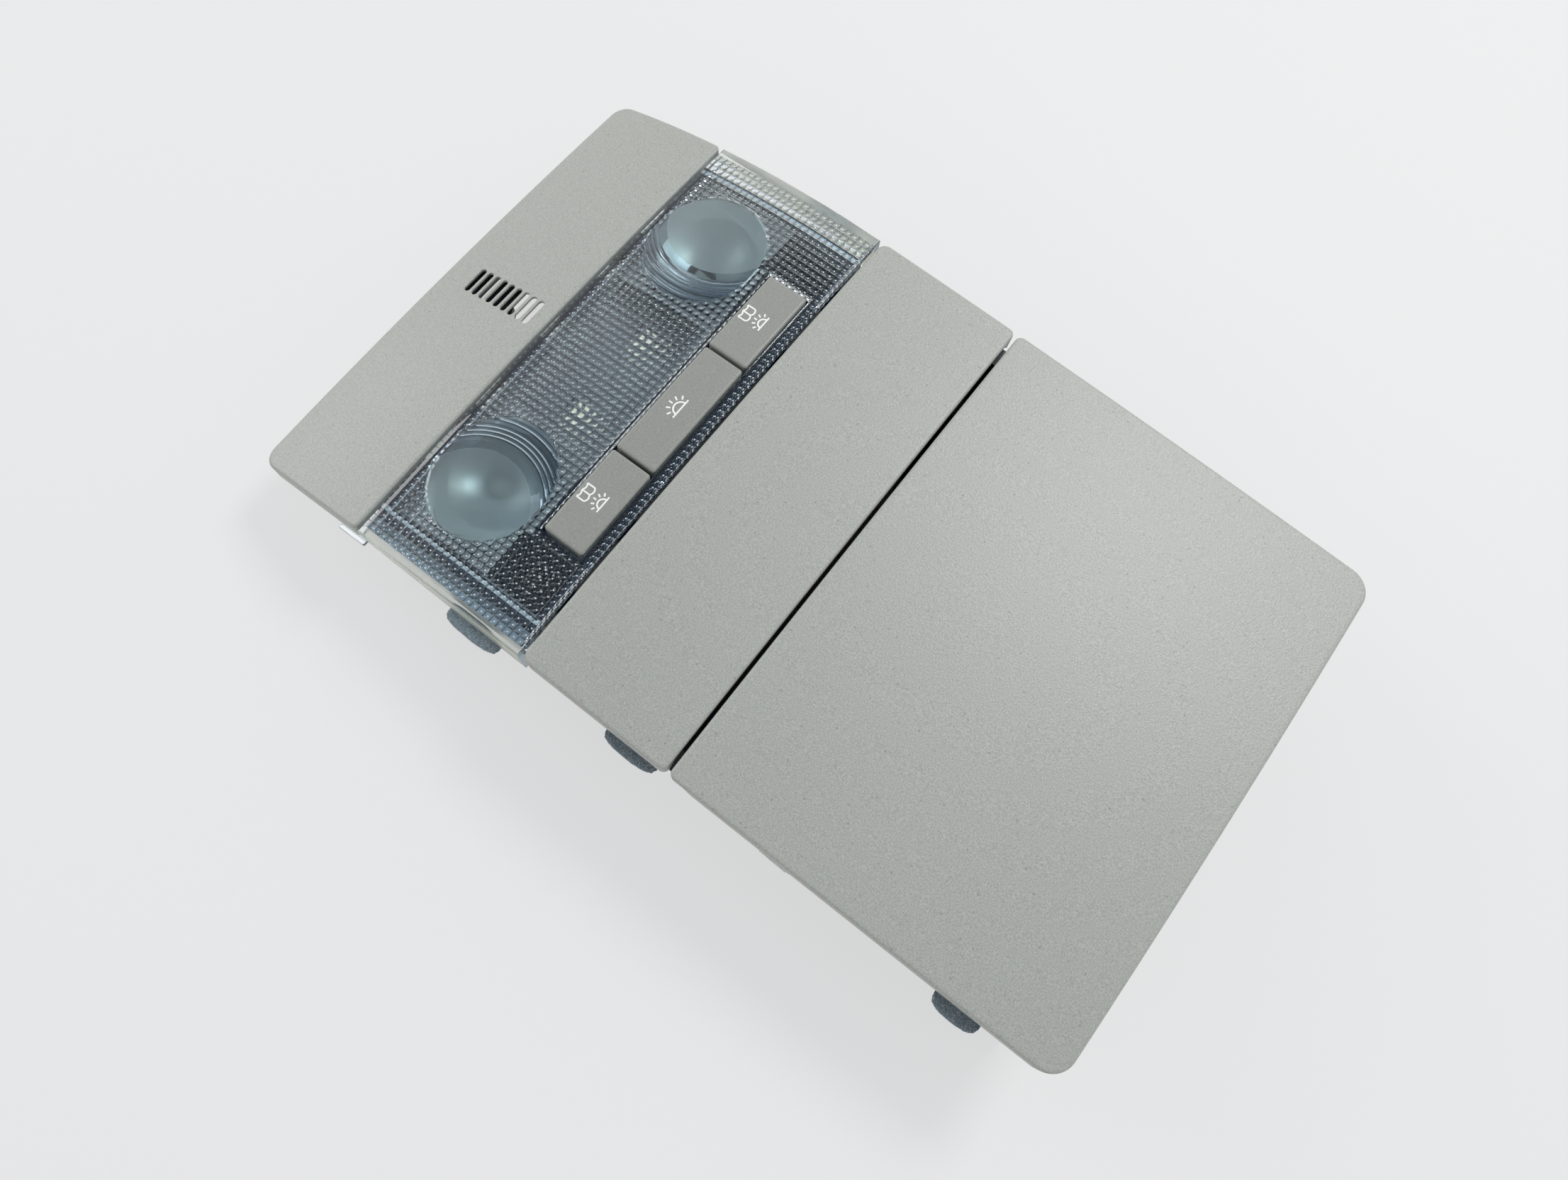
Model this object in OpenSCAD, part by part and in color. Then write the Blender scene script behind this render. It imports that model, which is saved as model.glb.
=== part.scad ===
// Roof console for a car cabin: interior light, push buttons, microphone grille and glasses box.
// The visible face looks up (+Z), the microphone end points to +Y, and the back rests on Z = 0.

/* [Console] */
// Width of the face across the car
console_w = 160; // [150:1:175]
// Height from the back face to the top of the face
console_h = 50; // [46:0.5:58]
// Length of the front trim with the microphone grille
front_l = 41.6; // [38:0.2:50]
// Length of the clear lamp lens
lens_l = 59.7; // [58:0.1:66]
// Length of the middle trim
middle_l = 48.7; // [46:0.1:60]
// Length of the box lid
lid_l = 120.8; // [112:0.2:140]
// Rise of the face in the middle of its width
crown_h = 2.4; // [1:0.1:4]
// Radius of the face along its rear part
rear_r = 3000; // [2000:100:5000]
// Radius of the face along the lens and the front trim
front_r = 285; // [240:5:400]

/* [Trim shells] */
// Wall of the grained trim shells
trim_t = 2.4; // [1.8:0.1:3]
// Depth of the turned-down side edges
skirt_h = 7; // [5:0.5:8]
// Rounding of the side edges
edge_r = 1; // [0.5:0.1:1.5]
// Gap between front trim and lens
front_gap = 0.9; // [0.6:0.1:1.4]
// Gap between lens and middle trim
middle_gap = 0.9; // [0.6:0.1:1.4]
// Gap between middle trim and lid
lid_gap = 1.7; // [1.6:0.1:2.2]
// Corner radius of the front trim
front_corner_r = 5; // [2:0.5:8]
// Corner radius of the lid at the rear
rear_corner_r = 7; // [2:0.5:10]
// Small corner radius at the seams
seam_corner_r = 2; // [1:0.5:3]
// Diameter of the screw bosses under the trims
boss_d = 6; // [5:0.5:8]

/* [Microphone grille] */
// Number of sound slots
slot_count = 9; // [5:1:11]
// Distance from slot to slot
slot_pitch = 3; // [2.8:0.1:3.2]
// Width of a slot
slot_w = 2; // [1.5:0.1:2.2]
// Length of a slot over its round ends
slot_l = 9; // [7:0.5:12]
// Distance from the front trim's rear edge to the first slot
slot_start = 6.1; // [5:0.1:8]
// Diameter of the microphone capsule
mic_d = 6; // [4:0.1:7]
// Height of the microphone capsule
mic_h = 5; // [4:0.5:7]

/* [Lamp] */
// Thickness of the lens
lens_t = 2.6; // [2:0.1:3]
// Distance that the locating tab reaches out beside the lens
tab_out = 1.5; // [1:0.1:2.5]
// Length of the locating tab
tab_l = 11; // [8:0.5:14]
// Distance of a reading lamp from the centre line
lamp_x = 45.7; // [42:0.1:50]
// Distance of a reading lamp from the lens's rear edge
lamp_y = 39.8; // [38:0.1:42]
// Length across a reading lamp's optic
optic_w = 38.7; // [34:0.1:40]
// Height of a reading lamp's optic
optic_h = 34.6; // [30:0.1:36]
// Distance from the optic's centre out to the centre of its rings
ring_shift = 12.7; // [10:0.1:15]
// Radius of the smooth dome inside the rings
dome_r = 18.4; // [16:0.1:20]
// Drop of the smooth dome below the lens
dome_h = 2.4; // [1:0.1:3]
// Radial spacing of the stepped rings
ring_pitch = 1.9; // [1.5:0.1:2.5]
// Depth of a ring step
ring_h = 0.9; // [0.4:0.1:1.2]
// Gap between the lamp housing and the lens's side walls
housing_gap = 5.7; // [5:0.1:7]
// Height of the lamp housing's floor
housing_z = 14; // [12:0.5:18]
// Wall of the lamp housing
housing_t = 2; // [1.6:0.1:2.4]
// Depth of the lamp board below the top of the face
board_drop = 22; // [20:0.5:24]
// Radius of a reading lamp's bowl at its rim
bowl_r = 15.5; // [14:0.1:16]
// Distance of a centre light-emitting diode from the centre line
led_x = 14.7; // [10:0.1:20]
// Distance of the centre diodes from the lens's rear edge
led_row = 36.5; // [32:0.5:40]
// Side of a light-emitting diode
led_w = 5; // [3:0.5:6]

/* [Buttons] */
// Width of the middle button
centre_button_w = 39.2; // [36:0.2:42]
// Width of an outer button
outer_button_w = 28.8; // [26:0.2:30]
// Length of a button along the console
button_l = 13.3; // [12:0.1:14]
// Gap between two buttons
button_gap = 1; // [0.8:0.1:1.2]
// Gap between the buttons and their window
window_gap = 0.7; // [0.6:0.1:1]
// Distance of the buttons' middle from the lens's rear edge
button_y = 11.3; // [10.5:0.1:12]
// Height of the buttons above the lens
button_rise = 0.4; // [0:0.1:0.6]
// Depth of the switches' seat below the top of the face
switch_drop = 23; // [22:0.5:24]
// Travel of a button
button_travel = 1.5; // [1:0.1:2]

/* [Glasses box] */
// Distance from the lid seam to the hinge pin
pin_forward = 16; // [15.5:0.1:17]
// Depth of the hinge pin below the top of the face
pin_drop = 10; // [9.6:0.1:10.4]
// Radius of the hinge pin
pin_r = 1.5; // [1.2:0.1:2]
// Running clearance round the hinge pin
pin_play = 0.06; // [0.03:0.01:0.1]
// Gap between the tray and each side of the well
tray_gap = 4; // [3:0.5:6]
// Wall of the tray
tray_t = 2; // [1.6:0.1:2.4]
// Gap between the tray's end wall and the latch
latch_room = 2.9; // [2:0.1:5]
// Height of the tray's mouth above the back
tray_mouth_z = 9; // [7:0.5:12]
// Thickness of the soft tray liner
liner_t = 1.2; // [0.8:0.1:2]

/* [Carrier] */
// Distance from the face's side edge in to the well
well_inset = 8; // [7.5:0.1:9]
// Wall of the carrier
carrier_t = 2; // [1.6:0.1:2.4]
// Depth of the carrier's flange below the top of the face
flange_drop = 11; // [10.8:0.2:14]
// Distance from the face's side edge in to the carrier's flange
flange_inset = 2; // [1.5:0.1:3]
// Distance from the lid's rear edge to the carrier
rear_inset = 4.4; // [4:0.1:6]
// Radius of the fixing holes
fixing_r = 2.75; // [2.2:0.05:3.3]
// Distance between the two fixing holes
fixing_span = 120; // [116:1:122]

/* [Damper and latch] */
// Gear module of the damper drive
gear_m = 1; // [1:0.05:1.1]
// Teeth on the whole circle of the sector
sector_teeth = 48; // [46:1:50]
// Teeth of the damper pinion
pinion_teeth = 10; // [9:1:11]
// Play between the gear flanks
gear_lash = 0.25; // [0.2:0.05:0.35]
// Thickness of the damper's body
damper_t = 5.6; // [4:0.2:7]
// Width of the gear sector and of its pinion
gear_w = 3; // [2:0.2:4]
// Travel of the latch plunger
latch_travel = 3; // [2:0.5:4]
// Width of the latch housing
latch_w = 18; // [14:0.5:24]
// Depth of the latch housing's top below the top of the face
latch_drop = 14; // [13:0.5:16]

/* [Pads] */
// Length of a felt pad beside the lens
pad_l = 18.6; // [14:0.2:22]
// Length of a felt pad beside the hinge
middle_pad_l = 17.5; // [14:0.5:22]
// Length of a felt pad near the rear end
rear_pad_l = 14.2; // [10:0.2:20]
// Distance that a pad reaches out beyond the face
pad_out = 4; // [2:0.5:5]
// Thickness of a felt pad
pad_t = 1.6; // [1:0.1:2]

/* [Hidden] */

$fn = 64;
// Sides of the very large circles
fine = 720;
// Play between parts that are screwed or laid together
play = 0.3;
// Overlap that makes a cut run clean through
over = 1;

total_l = front_l + lens_l + middle_l + lid_l;
y_rear = -total_l / 2;
y_lid = y_rear + lid_l;
y_mid = y_lid + middle_l;
y_lens = y_mid + lens_l;
y_front = y_lens + front_l;
half_w = console_w / 2;
well_half_w = half_w - well_inset;
flange_half_w = half_w - flange_inset;
flange_z = console_h - flange_drop;
board_z = console_h - board_drop;
switch_z = console_h - switch_drop;
latch_top = console_h - latch_drop;
housing_half_w = half_w - lens_t - housing_gap;
tray_half_w = well_half_w - tray_gap;
crown_r = half_w * half_w / (2 * crown_h) + crown_h / 2;
// Height of the axis that the crown turns about
crown_z = console_h - crown_r;

// Centres of the two arcs that the face follows along the console
rear_y = (y_rear + y_mid) / 2;
rear_z = console_h - rear_r;
join_a = asin((y_mid - rear_y) / rear_r);
front_y = y_mid - front_r * sin(join_a);
front_z = rear_z + (rear_r - front_r) * cos(join_a);

// Height of the face on the centre line
function face_z(y) = y <= y_mid
    ? rear_z + sqrt(pow(rear_r, 2) - pow(y - rear_y, 2))
    : front_z + sqrt(pow(front_r, 2) - pow(y - front_y, 2));
// Height of the face anywhere
function skin_z(x, y) = face_z(y) - crown_r + sqrt(crown_r * crown_r - x * x);
// Angles on the two arcs
function rear_a(y) = asin((y - rear_y) / rear_r);
function front_a(y) = asin((y - front_y) / front_r);

// Solid below the front arc's skin, lowered by drop, between two places along the console
module under_front(drop, y0, y1) {
    a = asin((half_w + 2) / crown_r);
    low = 12 - crown_z;
    translate([0, 0, crown_z]) rotate([-90, 0, 0]) rotate([0, 0, -90 - a])
        rotate_extrude(angle = 2 * a, $fn = fine) intersection() {
            translate([front_z - crown_z, front_y]) circle(front_r - drop, $fn = fine);
            translate([low, y0]) square([console_h - crown_z + over - low, y1 - y0]);
        }
}
// The same below the rear arc's skin
module under_rear(drop, y0, y1) {
    a = rear_a(y0);
    translate([0, rear_y, rear_z]) rotate([0, -90, 0]) rotate([0, 0, a])
        rotate_extrude(angle = rear_a(y1) - a, $fn = fine) translate([rear_r, 0]) mirror([1, -1])
            intersection() {
                translate([0, -crown_r]) circle(crown_r - drop, $fn = fine);
                translate([-half_w - over, -38]) square([console_w + 2 * over, 38 + over]);
            }
}

// Rectangle with one radius at the front corners and one at the rear corners
module plan(hw, y0, y1, r0, r1) {
    translate([r0 - hw, y0]) square([2 * (hw - r0), y1 - y0]);
    translate([-hw, y0 + r0]) square([2 * hw, y1 - y0 - r0 - r1]);
    translate([r1 - hw, y0 + r0]) square([2 * (hw - r1), y1 - y0 - r0]);
    for (s = [-1, 1]) {
        translate([s * (hw - r0), y0 + r0]) circle(r0);
        translate([s * (hw - r1), y1 - r1]) circle(r1);
    }
}
module prism(low, high) {
    translate([0, 0, low]) linear_extrude(high - low) children();
}
module block(x0, x1, y0, y1, z0, z1) {
    translate([x0, y0, z0]) cube([x1 - x0, y1 - y0, z1 - z0]);
}
module rod(x, y, z0, z1, r) {
    translate([x, y, z0]) cylinder(h = z1 - z0, r = r);
}
// Slot with round ends along X
module stadium(l, w) {
    square([l - w, w], center = true);
    for (s = [-1, 1]) translate([s * (l - w) / 2, 0]) circle(w / 2);
}
// Extrudes a YZ outline along X, from x0 to x1
module across(x0, x1) {
    translate([x0, 0, 0]) rotate([90, 0, 90]) linear_extrude(x1 - x0) children();
}
module both_sides() {
    children();
    mirror([1, 0, 0]) children();
}

// FACE SHELLS
trim_color = "#B8B8AE";
y_slots = y_lens + front_gap / 2 + slot_start;
function slot_y(i) = y_slots + i * slot_pitch;
front_y0 = y_lens + front_gap / 2;

// Places of the screws that hold the front and middle trims
lug_x = [34, 60];
front_screw_y = y_lens + 9;
middle_screw_y = y_mid - 9;
deck_y0 = y_lid + pin_forward + 15.2;
screw_r = 1.3;
front_lug_z = skin_z(lug_x[1], front_screw_y) - trim_t - 4.6;

// Skirt of the front trim, whose lower edge follows the slope of the face
module front_skirt() {
    intersection() {
        prism(14, console_h) children();
        translate([-console_w, front_y0, face_z(front_y0) - crown_h - skirt_h]) rotate([face_slope, 0, 0])
            translate([0, -60, 0]) cube([2 * console_w, 180, 60]);
    }
}
module boss(x, y, z0) {
    difference() {
        rod(x, y, z0, skin_z(x, y) - trim_t / 2, boss_d / 2);
        rod(x, y, z0 - over, z0 + 5, screw_r);
    }
}

module front_trim() {
    color(trim_color) {
        difference() {
            intersection() {
                under_front(0, front_y0 - over, y_front + over);
                front_skirt() plan(half_w, front_y0, y_front, seam_corner_r, front_corner_r);
            }
            intersection() {
                under_front(trim_t, front_y0 - over, y_front + over);
                prism(14, console_h) plan(half_w - trim_t, front_y0 + trim_t, y_front - trim_t,
                    edge_r, front_corner_r - trim_t / 2);
            }
            for (i = [0:slot_count - 1])
                translate([0, slot_y(i), 0]) linear_extrude(console_h) stadium(slot_l, slot_w);
        }
        both_sides() for (x = lug_x) boss(x, front_screw_y, front_lug_z);
        // Posts that carry the microphone bracket
        both_sides() boss(mic_post_x, mic_post_y, mic_plate_z);
    }
}

module middle_trim() {
    y0 = y_lid + lid_gap / 2;
    y1 = y_mid - middle_gap / 2;
    color(trim_color) {
        difference() {
            intersection() {
                under_rear(0, y0 - over, y1 + over);
                prism(console_h - crown_h - skirt_h, console_h + over)
                    plan(half_w, y0, y1, seam_corner_r, seam_corner_r + 1);
            }
            intersection() {
                under_rear(trim_t, y0 - 2 * over, y1 + over);
                prism(flange_z - 4, console_h + over)
                    plan(half_w - trim_t, y0 - 2 * over, y1 - trim_t, edge_r, edge_r);
            }
        }
        both_sides() for (x = lug_x) boss(x, middle_screw_y, flange_z);
    }
}

module box_lid() {
    y1 = y_lid - lid_gap / 2;
    color(trim_color) {
        difference() {
            intersection() {
                under_rear(0, y_rear - over, y1 + over);
                prism(console_h - crown_h - skirt_h, console_h + over)
                    plan(half_w, y_rear, y1, rear_corner_r, seam_corner_r);
            }
            intersection() {
                under_rear(trim_t, y_rear - over, y1 + 2 * over);
                prism(flange_z - 4, console_h + over) plan(half_w - trim_t, y_rear + trim_t,
                    y1 + 2 * over, rear_corner_r - trim_t, edge_r);
            }
            skirt_notch(y1);
        }
        both_sides() for (y = tray_screw_y) boss(tray_screw_x, y, tray_top);
    }
}
// Cut that shortens the lid's skirts near the hinge, so they pass the middle trim
module skirt_notch(y1) {
    both_sides() block(half_w - trim_t - over, half_w + over, y1 - 6, y1 + over,
        console_h - crown_h - skirt_h - over, console_h - crown_h - skirt_h + 3.6);
}

// LENS
lens_y0 = y_mid + middle_gap / 2;
lens_y1 = y_lens - front_gap / 2;
optic_y = y_mid + lamp_y;
row_y = y_mid + button_y;
window_half_w = centre_button_w / 2 + button_gap + outer_button_w + window_gap;
window_half_l = button_l / 2 + window_gap;

// Oval of two crossing arcs, centred on a reading lamp
module optic_outline(grow = 0) {
    a = optic_w / 2 + grow;
    b = optic_h / 2 + grow;
    r = (a * a + b * b) / (2 * b);
    translate([lamp_x, optic_y]) intersection() {
        translate([0, r - b]) circle(r, $fn = 128);
        translate([0, b - r]) circle(r, $fn = 128);
    }
}
// Underside of a reading optic: a smooth dome off the centre, with stepped rings round it
module reading_optic() {
    rings = ceil((optic_w / 2 + ring_shift - dome_r) / ring_pitch);
    ring_x = lamp_x + ring_shift;
    under = skin_z(ring_x, optic_y) - lens_t;
    tilt = front_a(optic_y);
    intersection() {
        prism(0, console_h) optic_outline();
        translate([ring_x, optic_y, under - 0.4]) rotate([-tilt, asin(ring_x / crown_r), 0])
            rotate_extrude($fn = 128) {
                intersection() {
                    translate([0, dome_r * dome_r / 2 / dome_h - dome_h / 2])
                        circle(dome_r * dome_r / 2 / dome_h + dome_h / 2, $fn = 360);
                    translate([0, -dome_h]) square([dome_r, dome_h + 1.6]);
                }
                for (i = [0:rings - 1])
                    translate([dome_r + i * ring_pitch, 0])
                        polygon([[0, 1.6], [0, -ring_h], [ring_pitch, -0.1], [ring_pitch, 1.6]]);
            }
    }
}
module lens() {
    color("#A9BBC6", 0.55) {
        difference() {
            intersection() {
                under_front(0, lens_y0 - over, lens_y1 + over);
                prism(lens_low, console_h + over) plan(half_w, lens_y0, lens_y1, 1, 1);
            }
            intersection() {
                under_front(lens_t, lens_y0 - over, lens_y1 + over);
                prism(14, console_h) plan(half_w - lens_t, lens_y0 - 4, lens_y1 + 4, 1, 1);
            }
            translate([0, row_y, 0]) linear_extrude(console_h)
                square([2 * window_half_w, 2 * window_half_l], center = true);
        }
        both_sides() reading_optic();
        locating_tab();
    }
}
lens_low = face_z(y_lens) - crown_h - skirt_h;
face_slope = atan((face_z(y_front) - face_z(front_y0)) / (y_front - front_y0));
// Tongue on the lens's side wall that tucks under the front trim's skirt
module locating_tab() {
    translate([-half_w - tab_out, front_y0, face_z(front_y0) - crown_h - skirt_h - play])
        rotate([face_slope, 0, 0]) translate([0, -tab_l / 5, -1.2])
            cube([tab_out + lens_t, tab_l, 1.2]);
}

// LAMP HOUSING AND WHAT IT HOLDS
wall_y0 = y_mid + 1;
wall_y1 = y_lens - 0.7;
// Height at which the housing's walls meet the lens at a place along the console
function under_lens(y) = face_z(y) - lens_t - play;
housing_top = under_lens(wall_y1);
notches = [[0, 8.8], [26.6, 11], [46.8, 12.3]];
well_x = fixing_span / 2;
well_y = y_mid + 14.6;
well_half = 8.6;
board_t = 1.6;
lug_t = 2.5;
notch_depth = 6;
tower_r = fixing_r + 3.75;
// Posts under the lamp board
post_r = 2.5;
post_x = [24, 63];
post_inset = 6;
rear_post_y = y_mid + 25;

// Solid below the lens's inner face
module below_lens(gap) {
    under_front(lens_t + gap, y_mid - 4, y_lens + 4);
}
module lamp_housing() {
    hw = housing_half_w;
    color("#55595B") {
        difference() {
            intersection() {
                block(-hw, hw, wall_y0, wall_y1, housing_z, console_h);
                below_lens(play);
            }
            block(housing_t - hw, hw - housing_t, wall_y0 + housing_t, wall_y1 - housing_t,
                housing_z + housing_t, console_h);
            // Notches in the front wall, seen through the lens
            both_sides() for (n = notches)
                block(n[0] - n[1] / 2, n[0] + n[1] / 2, wall_y1 - housing_t - over,
                    wall_y1 + over, housing_top - notch_depth, console_h);
            both_sides() rod(well_x, well_y, -over, console_h, fixing_r);
            // Opening for the connector
            block(-socket_w / 2, socket_w / 2, socket_y - socket_l / 2, socket_y + socket_l / 2,
                housing_z - over, housing_z + housing_t + over);
        }
        both_sides() {
            // Tower down to the roof fixing
            difference() {
                rod(well_x, well_y, 0, housing_z + housing_t / 2, tower_r);
                rod(well_x, well_y, -over, console_h, fixing_r);
            }
            // Ribs that stiffen the tower
            for (a = [0:90:270])
                translate([well_x, well_y, 0]) rotate([0, 0, a])
                    block(tower_r - 0.5, tower_r + 2.5, -housing_t / 2, housing_t / 2, 4,
                        housing_z + housing_t / 2);
            // Rear lugs under the carrier's deck, and front lugs under the front trim
            for (x = lug_x) {
                lug(x, middle_screw_y, wall_y0 + housing_t / 2, flange_z - carrier_t - lug_t);
                lug(x, front_screw_y, wall_y1 - housing_t / 2, front_lug_z - lug_t);
            }
            // Posts that carry the lamp board
            for (x = post_x)
                rod(x, y_lens - post_inset, housing_z + housing_t / 2, board_z, post_r);
            rod(post_x[0], rear_post_y, housing_z + housing_t / 2, board_z, post_r);
        }
        // Walls of the button well
        difference() {
            translate([0, row_y, housing_z + housing_t / 2]) linear_extrude(well_wall_h)
                square([2 * window_half_w + 2 * housing_t, 2 * window_half_l + 2 * housing_t],
                    center = true);
            translate([0, row_y, housing_z]) linear_extrude(console_h)
                square([2 * window_half_w, 2 * window_half_l], center = true);
        }
        // Shelf that carries the switches
        block(-window_half_w, window_half_w, row_y - window_half_l, row_y + window_half_l,
            switch_z - 2, switch_z);
    }
}
// Height of the walls round the buttons
well_wall_h = 22;
// Flat lug from a wall of the housing to a screw
module lug(x, y, wall, z) {
    difference() {
        union() {
            rod(x, y, z, z + lug_t, boss_d / 2 + 1);
            block(x - boss_d / 2 - 1, x + boss_d / 2 + 1, min(y, wall), max(y, wall), z, z + lug_t);
        }
        rod(x, y, z - over, z + lug_t + over, screw_r + 0.3);
    }
}

// Light tray and lamp bowls, moulded in one piece and metallised
reflector_drop = 3;
reflector_t = 1.4;
led_hole_r = 4.2;
// A bowl is part of a ball, from its lowest point up to its rim a little above the tray
bowl_low = board_z + board_t + 1.8;
bowl_depth = skin_z(lamp_x, optic_y) - lens_t - reflector_drop + 1 - bowl_low;
bowl_ball_r = (bowl_r * bowl_r + bowl_depth * bowl_depth) / (2 * bowl_depth);
module bowl(r) {
    translate([lamp_x, optic_y, bowl_low + bowl_ball_r]) sphere(r, $fn = 128);
}
module reflector() {
    hw = housing_half_w - housing_t - 2;
    y0 = wall_y0 + housing_t + play;
    y1 = wall_y1 - housing_t - play;
    color("#C9CDCF") intersection() {
        below_lens(reflector_drop);
        union() {
            difference() {
                union() {
                    difference() {
                        block(-hw, hw, y0, y1, board_z + board_t + 0.2, console_h);
                        below_lens(reflector_drop + reflector_t);
                        both_sides() block(well_x - well_half, hw + over, y0 - over,
                            well_y + well_half, 0, console_h);
                        translate([0, row_y, 0]) linear_extrude(console_h)
                            square([2 * window_half_w + 2 * housing_t + 2 * play,
                                2 * window_half_l + 2 * housing_t + 2 * play], center = true);
                        block(-tray_x, tray_x, light_y0, y1 - 3, 0, console_h);
                    }
                    both_sides() bowl(bowl_ball_r + reflector_t);
                }
                both_sides() {
                    bowl(bowl_ball_r);
                    rod(lamp_x, optic_y, 0, console_h, led_hole_r);
                }
            }
            light_tray(y1 - 3);
        }
    }
}
// Open tray round the two centre diodes
tray_x = 25;
light_inset = 24;
light_y0 = y_mid + light_inset;
module light_tray(y1) {
    w = reflector_t;
    difference() {
        block(-tray_x - w, tray_x + w, light_y0 - w, y1 + w, board_z + board_t + play, console_h);
        block(-tray_x, tray_x, light_y0, y1, board_z + board_t + play + w, console_h);
        both_sides() block(led_x - led_w / 2 - play, led_x + led_w / 2 + play,
            led_y - led_w / 2 - play, led_y + led_w / 2 + play, 0, console_h);
    }
}

led_y = y_mid + led_row;
led_t = 1.6;
board_y0 = y_mid + 21.5;
board_gap = 1.5;
module lamp_board() {
    color("#1F3B2C")
        difference() {
            block(board_gap - housing_half_w + housing_t, housing_half_w - housing_t - board_gap,
                board_y0, wall_y1 - housing_t - play, board_z, board_z + board_t);
            both_sides() block(well_x - well_half - 0.5, well_x + well_half + 0.5, board_y0 - over,
                well_y + well_half + 0.5, board_z - over, board_z + board_t + over);
        }
}
module led(x, y) {
    color("#E6DFC4") translate([x, y, board_z + board_t]) {
        translate([-led_w / 2, -led_w / 2, 0]) cube([led_w, led_w, led_t * 0.75]);
        cylinder(h = led_t, r = led_w * 0.4);
    }
}
module centre_led_left() { led(-led_x, led_y); }
module centre_led_right() { led(led_x, led_y); }
module reading_led_left() { led(-lamp_x, optic_y); }
module reading_led_right() { led(lamp_x, optic_y); }

// Connector on the back of the housing
socket_w = 26;
socket_l = 11;
socket_inset = 44;
socket_y = y_mid + socket_inset;
socket_low = 3;
module connector_socket() {
    hw = socket_w / 2 - play;
    hl = socket_l / 2 - play;
    color("#2B2D2E") {
        difference() {
            union() {
                block(-hw, hw, socket_y - hl, socket_y + hl, socket_low, housing_z + housing_t + 3);
                block(-hw - 2, hw + 2, socket_y - hl - 2, socket_y + hl + 2,
                    housing_z + housing_t, housing_z + housing_t + 3);
            }
            block(1.2 - hw, hw - 1.2, socket_y - hl + 1.2, socket_y + hl - 1.2,
                socket_low - over, housing_z);
        }
        for (i = [-3:3], s = [-1, 1])
            block(i * 3 - 0.3, i * 3 + 0.3, socket_y + s * 1.8 - 0.3, socket_y + s * 1.8 + 0.3,
                housing_z - 6, housing_z + 1);
    }
}

// BUTTONS AND SWITCHES
button_x = centre_button_w / 2 + button_gap + outer_button_w / 2;
switch_h = 4.3;
stem_gap = 0.3;
button_t = 2;
module button(x, w) {
    stem_low = switch_z + switch_h + button_travel + stem_gap;
    color("#A5A39B") {
        difference() {
            intersection() {
                under_front(-button_rise, row_y - button_l, row_y + button_l);
                prism(switch_z + switch_h + 4, console_h + over) translate([x, row_y])
                    plan(w / 2, -button_l / 2, button_l / 2, 0.8, 0.8);
            }
            intersection() {
                under_front(button_t - button_rise, row_y - button_l, row_y + button_l);
                block(x - w / 2 + 1.4, x + w / 2 - 1.4, row_y - button_l / 2 + 1.4,
                    row_y + button_l / 2 - 1.4, 0, console_h);
            }
        }
        block(x - 2, x + 2, row_y - 3, row_y + 3, stem_low,
            skin_z(x, row_y) - button_t / 2);
    }
}
module button_left() { button(-button_x, outer_button_w); }
module button_centre() { button(0, centre_button_w); }
module button_right() { button(button_x, outer_button_w); }

module switch(x) {
    color("#2E3032") {
        block(x - 3, x + 3, row_y - 3, row_y + 3, switch_z, switch_z + switch_h - 1);
        rod(x, row_y, switch_z, switch_z + switch_h, 1.7);
    }
}
module switch_left() { switch(-button_x); }
module switch_centre() { switch(0); }
module switch_right() { switch(button_x); }

// SCREWS
module screw(x, y, seat, up) {
    rod(x, y, seat - 2, seat, 2.6);
    rod(x, y, seat - over / 2, seat + up, screw_r - 0.1);
}
module lamp_screws() {
    color("#8C8F92") both_sides() for (x = lug_x)
        screw(x, middle_screw_y, flange_z - carrier_t - lug_t, lug_t + carrier_t + 4);
}
module trim_screws() {
    color("#8C8F92") both_sides() for (x = lug_x)
        screw(x, front_screw_y, front_lug_z - lug_t, lug_t + 3);
    color("#8C8F92") both_sides() screw(mic_post_x, mic_post_y, mic_plate_z - 2, 5);
}

// MICROPHONE
mic_y = slot_y(5) + 1.5;
mic_post_x = 12;
mic_post_y = slot_y(6) + 3;
mic_plate_z = skin_z(mic_post_x, mic_post_y + 3) - trim_t - 5;
module microphone_bracket() {
    color("#3A3C3D") difference() {
        union() {
            block(-mic_post_x - 4, mic_post_x + 4, mic_y - 2.4, slot_y(slot_count - 1) + 4.6,
                mic_plate_z - 2, mic_plate_z);
            rod(0, mic_y, mic_plate_z - mic_h, mic_plate_z, mic_d / 2 + 1.2);
        }
        rod(0, mic_y, mic_plate_z - mic_h + 1, mic_plate_z + over, mic_d / 2 + 0.1);
        both_sides() rod(mic_post_x, mic_post_y, 0, console_h, screw_r + 0.2);
        block(-8, 8, mic_post_y + 0.2, mic_post_y + 2.8, 0, console_h);
    }
}
module microphone() {
    color("#1E1F20") rod(0, mic_y, mic_plate_z - mic_h + 1, mic_plate_z + 0.4, mic_d / 2);
}

// CARRIER
well_y0 = y_rear + rear_inset + carrier_t;
well_y1 = deck_y0 - carrier_t;
pin_y = y_lid + pin_forward;
pin_z = console_h - pin_drop;
arm_l = 6;
ear_t = 3;
// Radial clearance of the pins in the carrier
pin_seat = 0.02;
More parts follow.
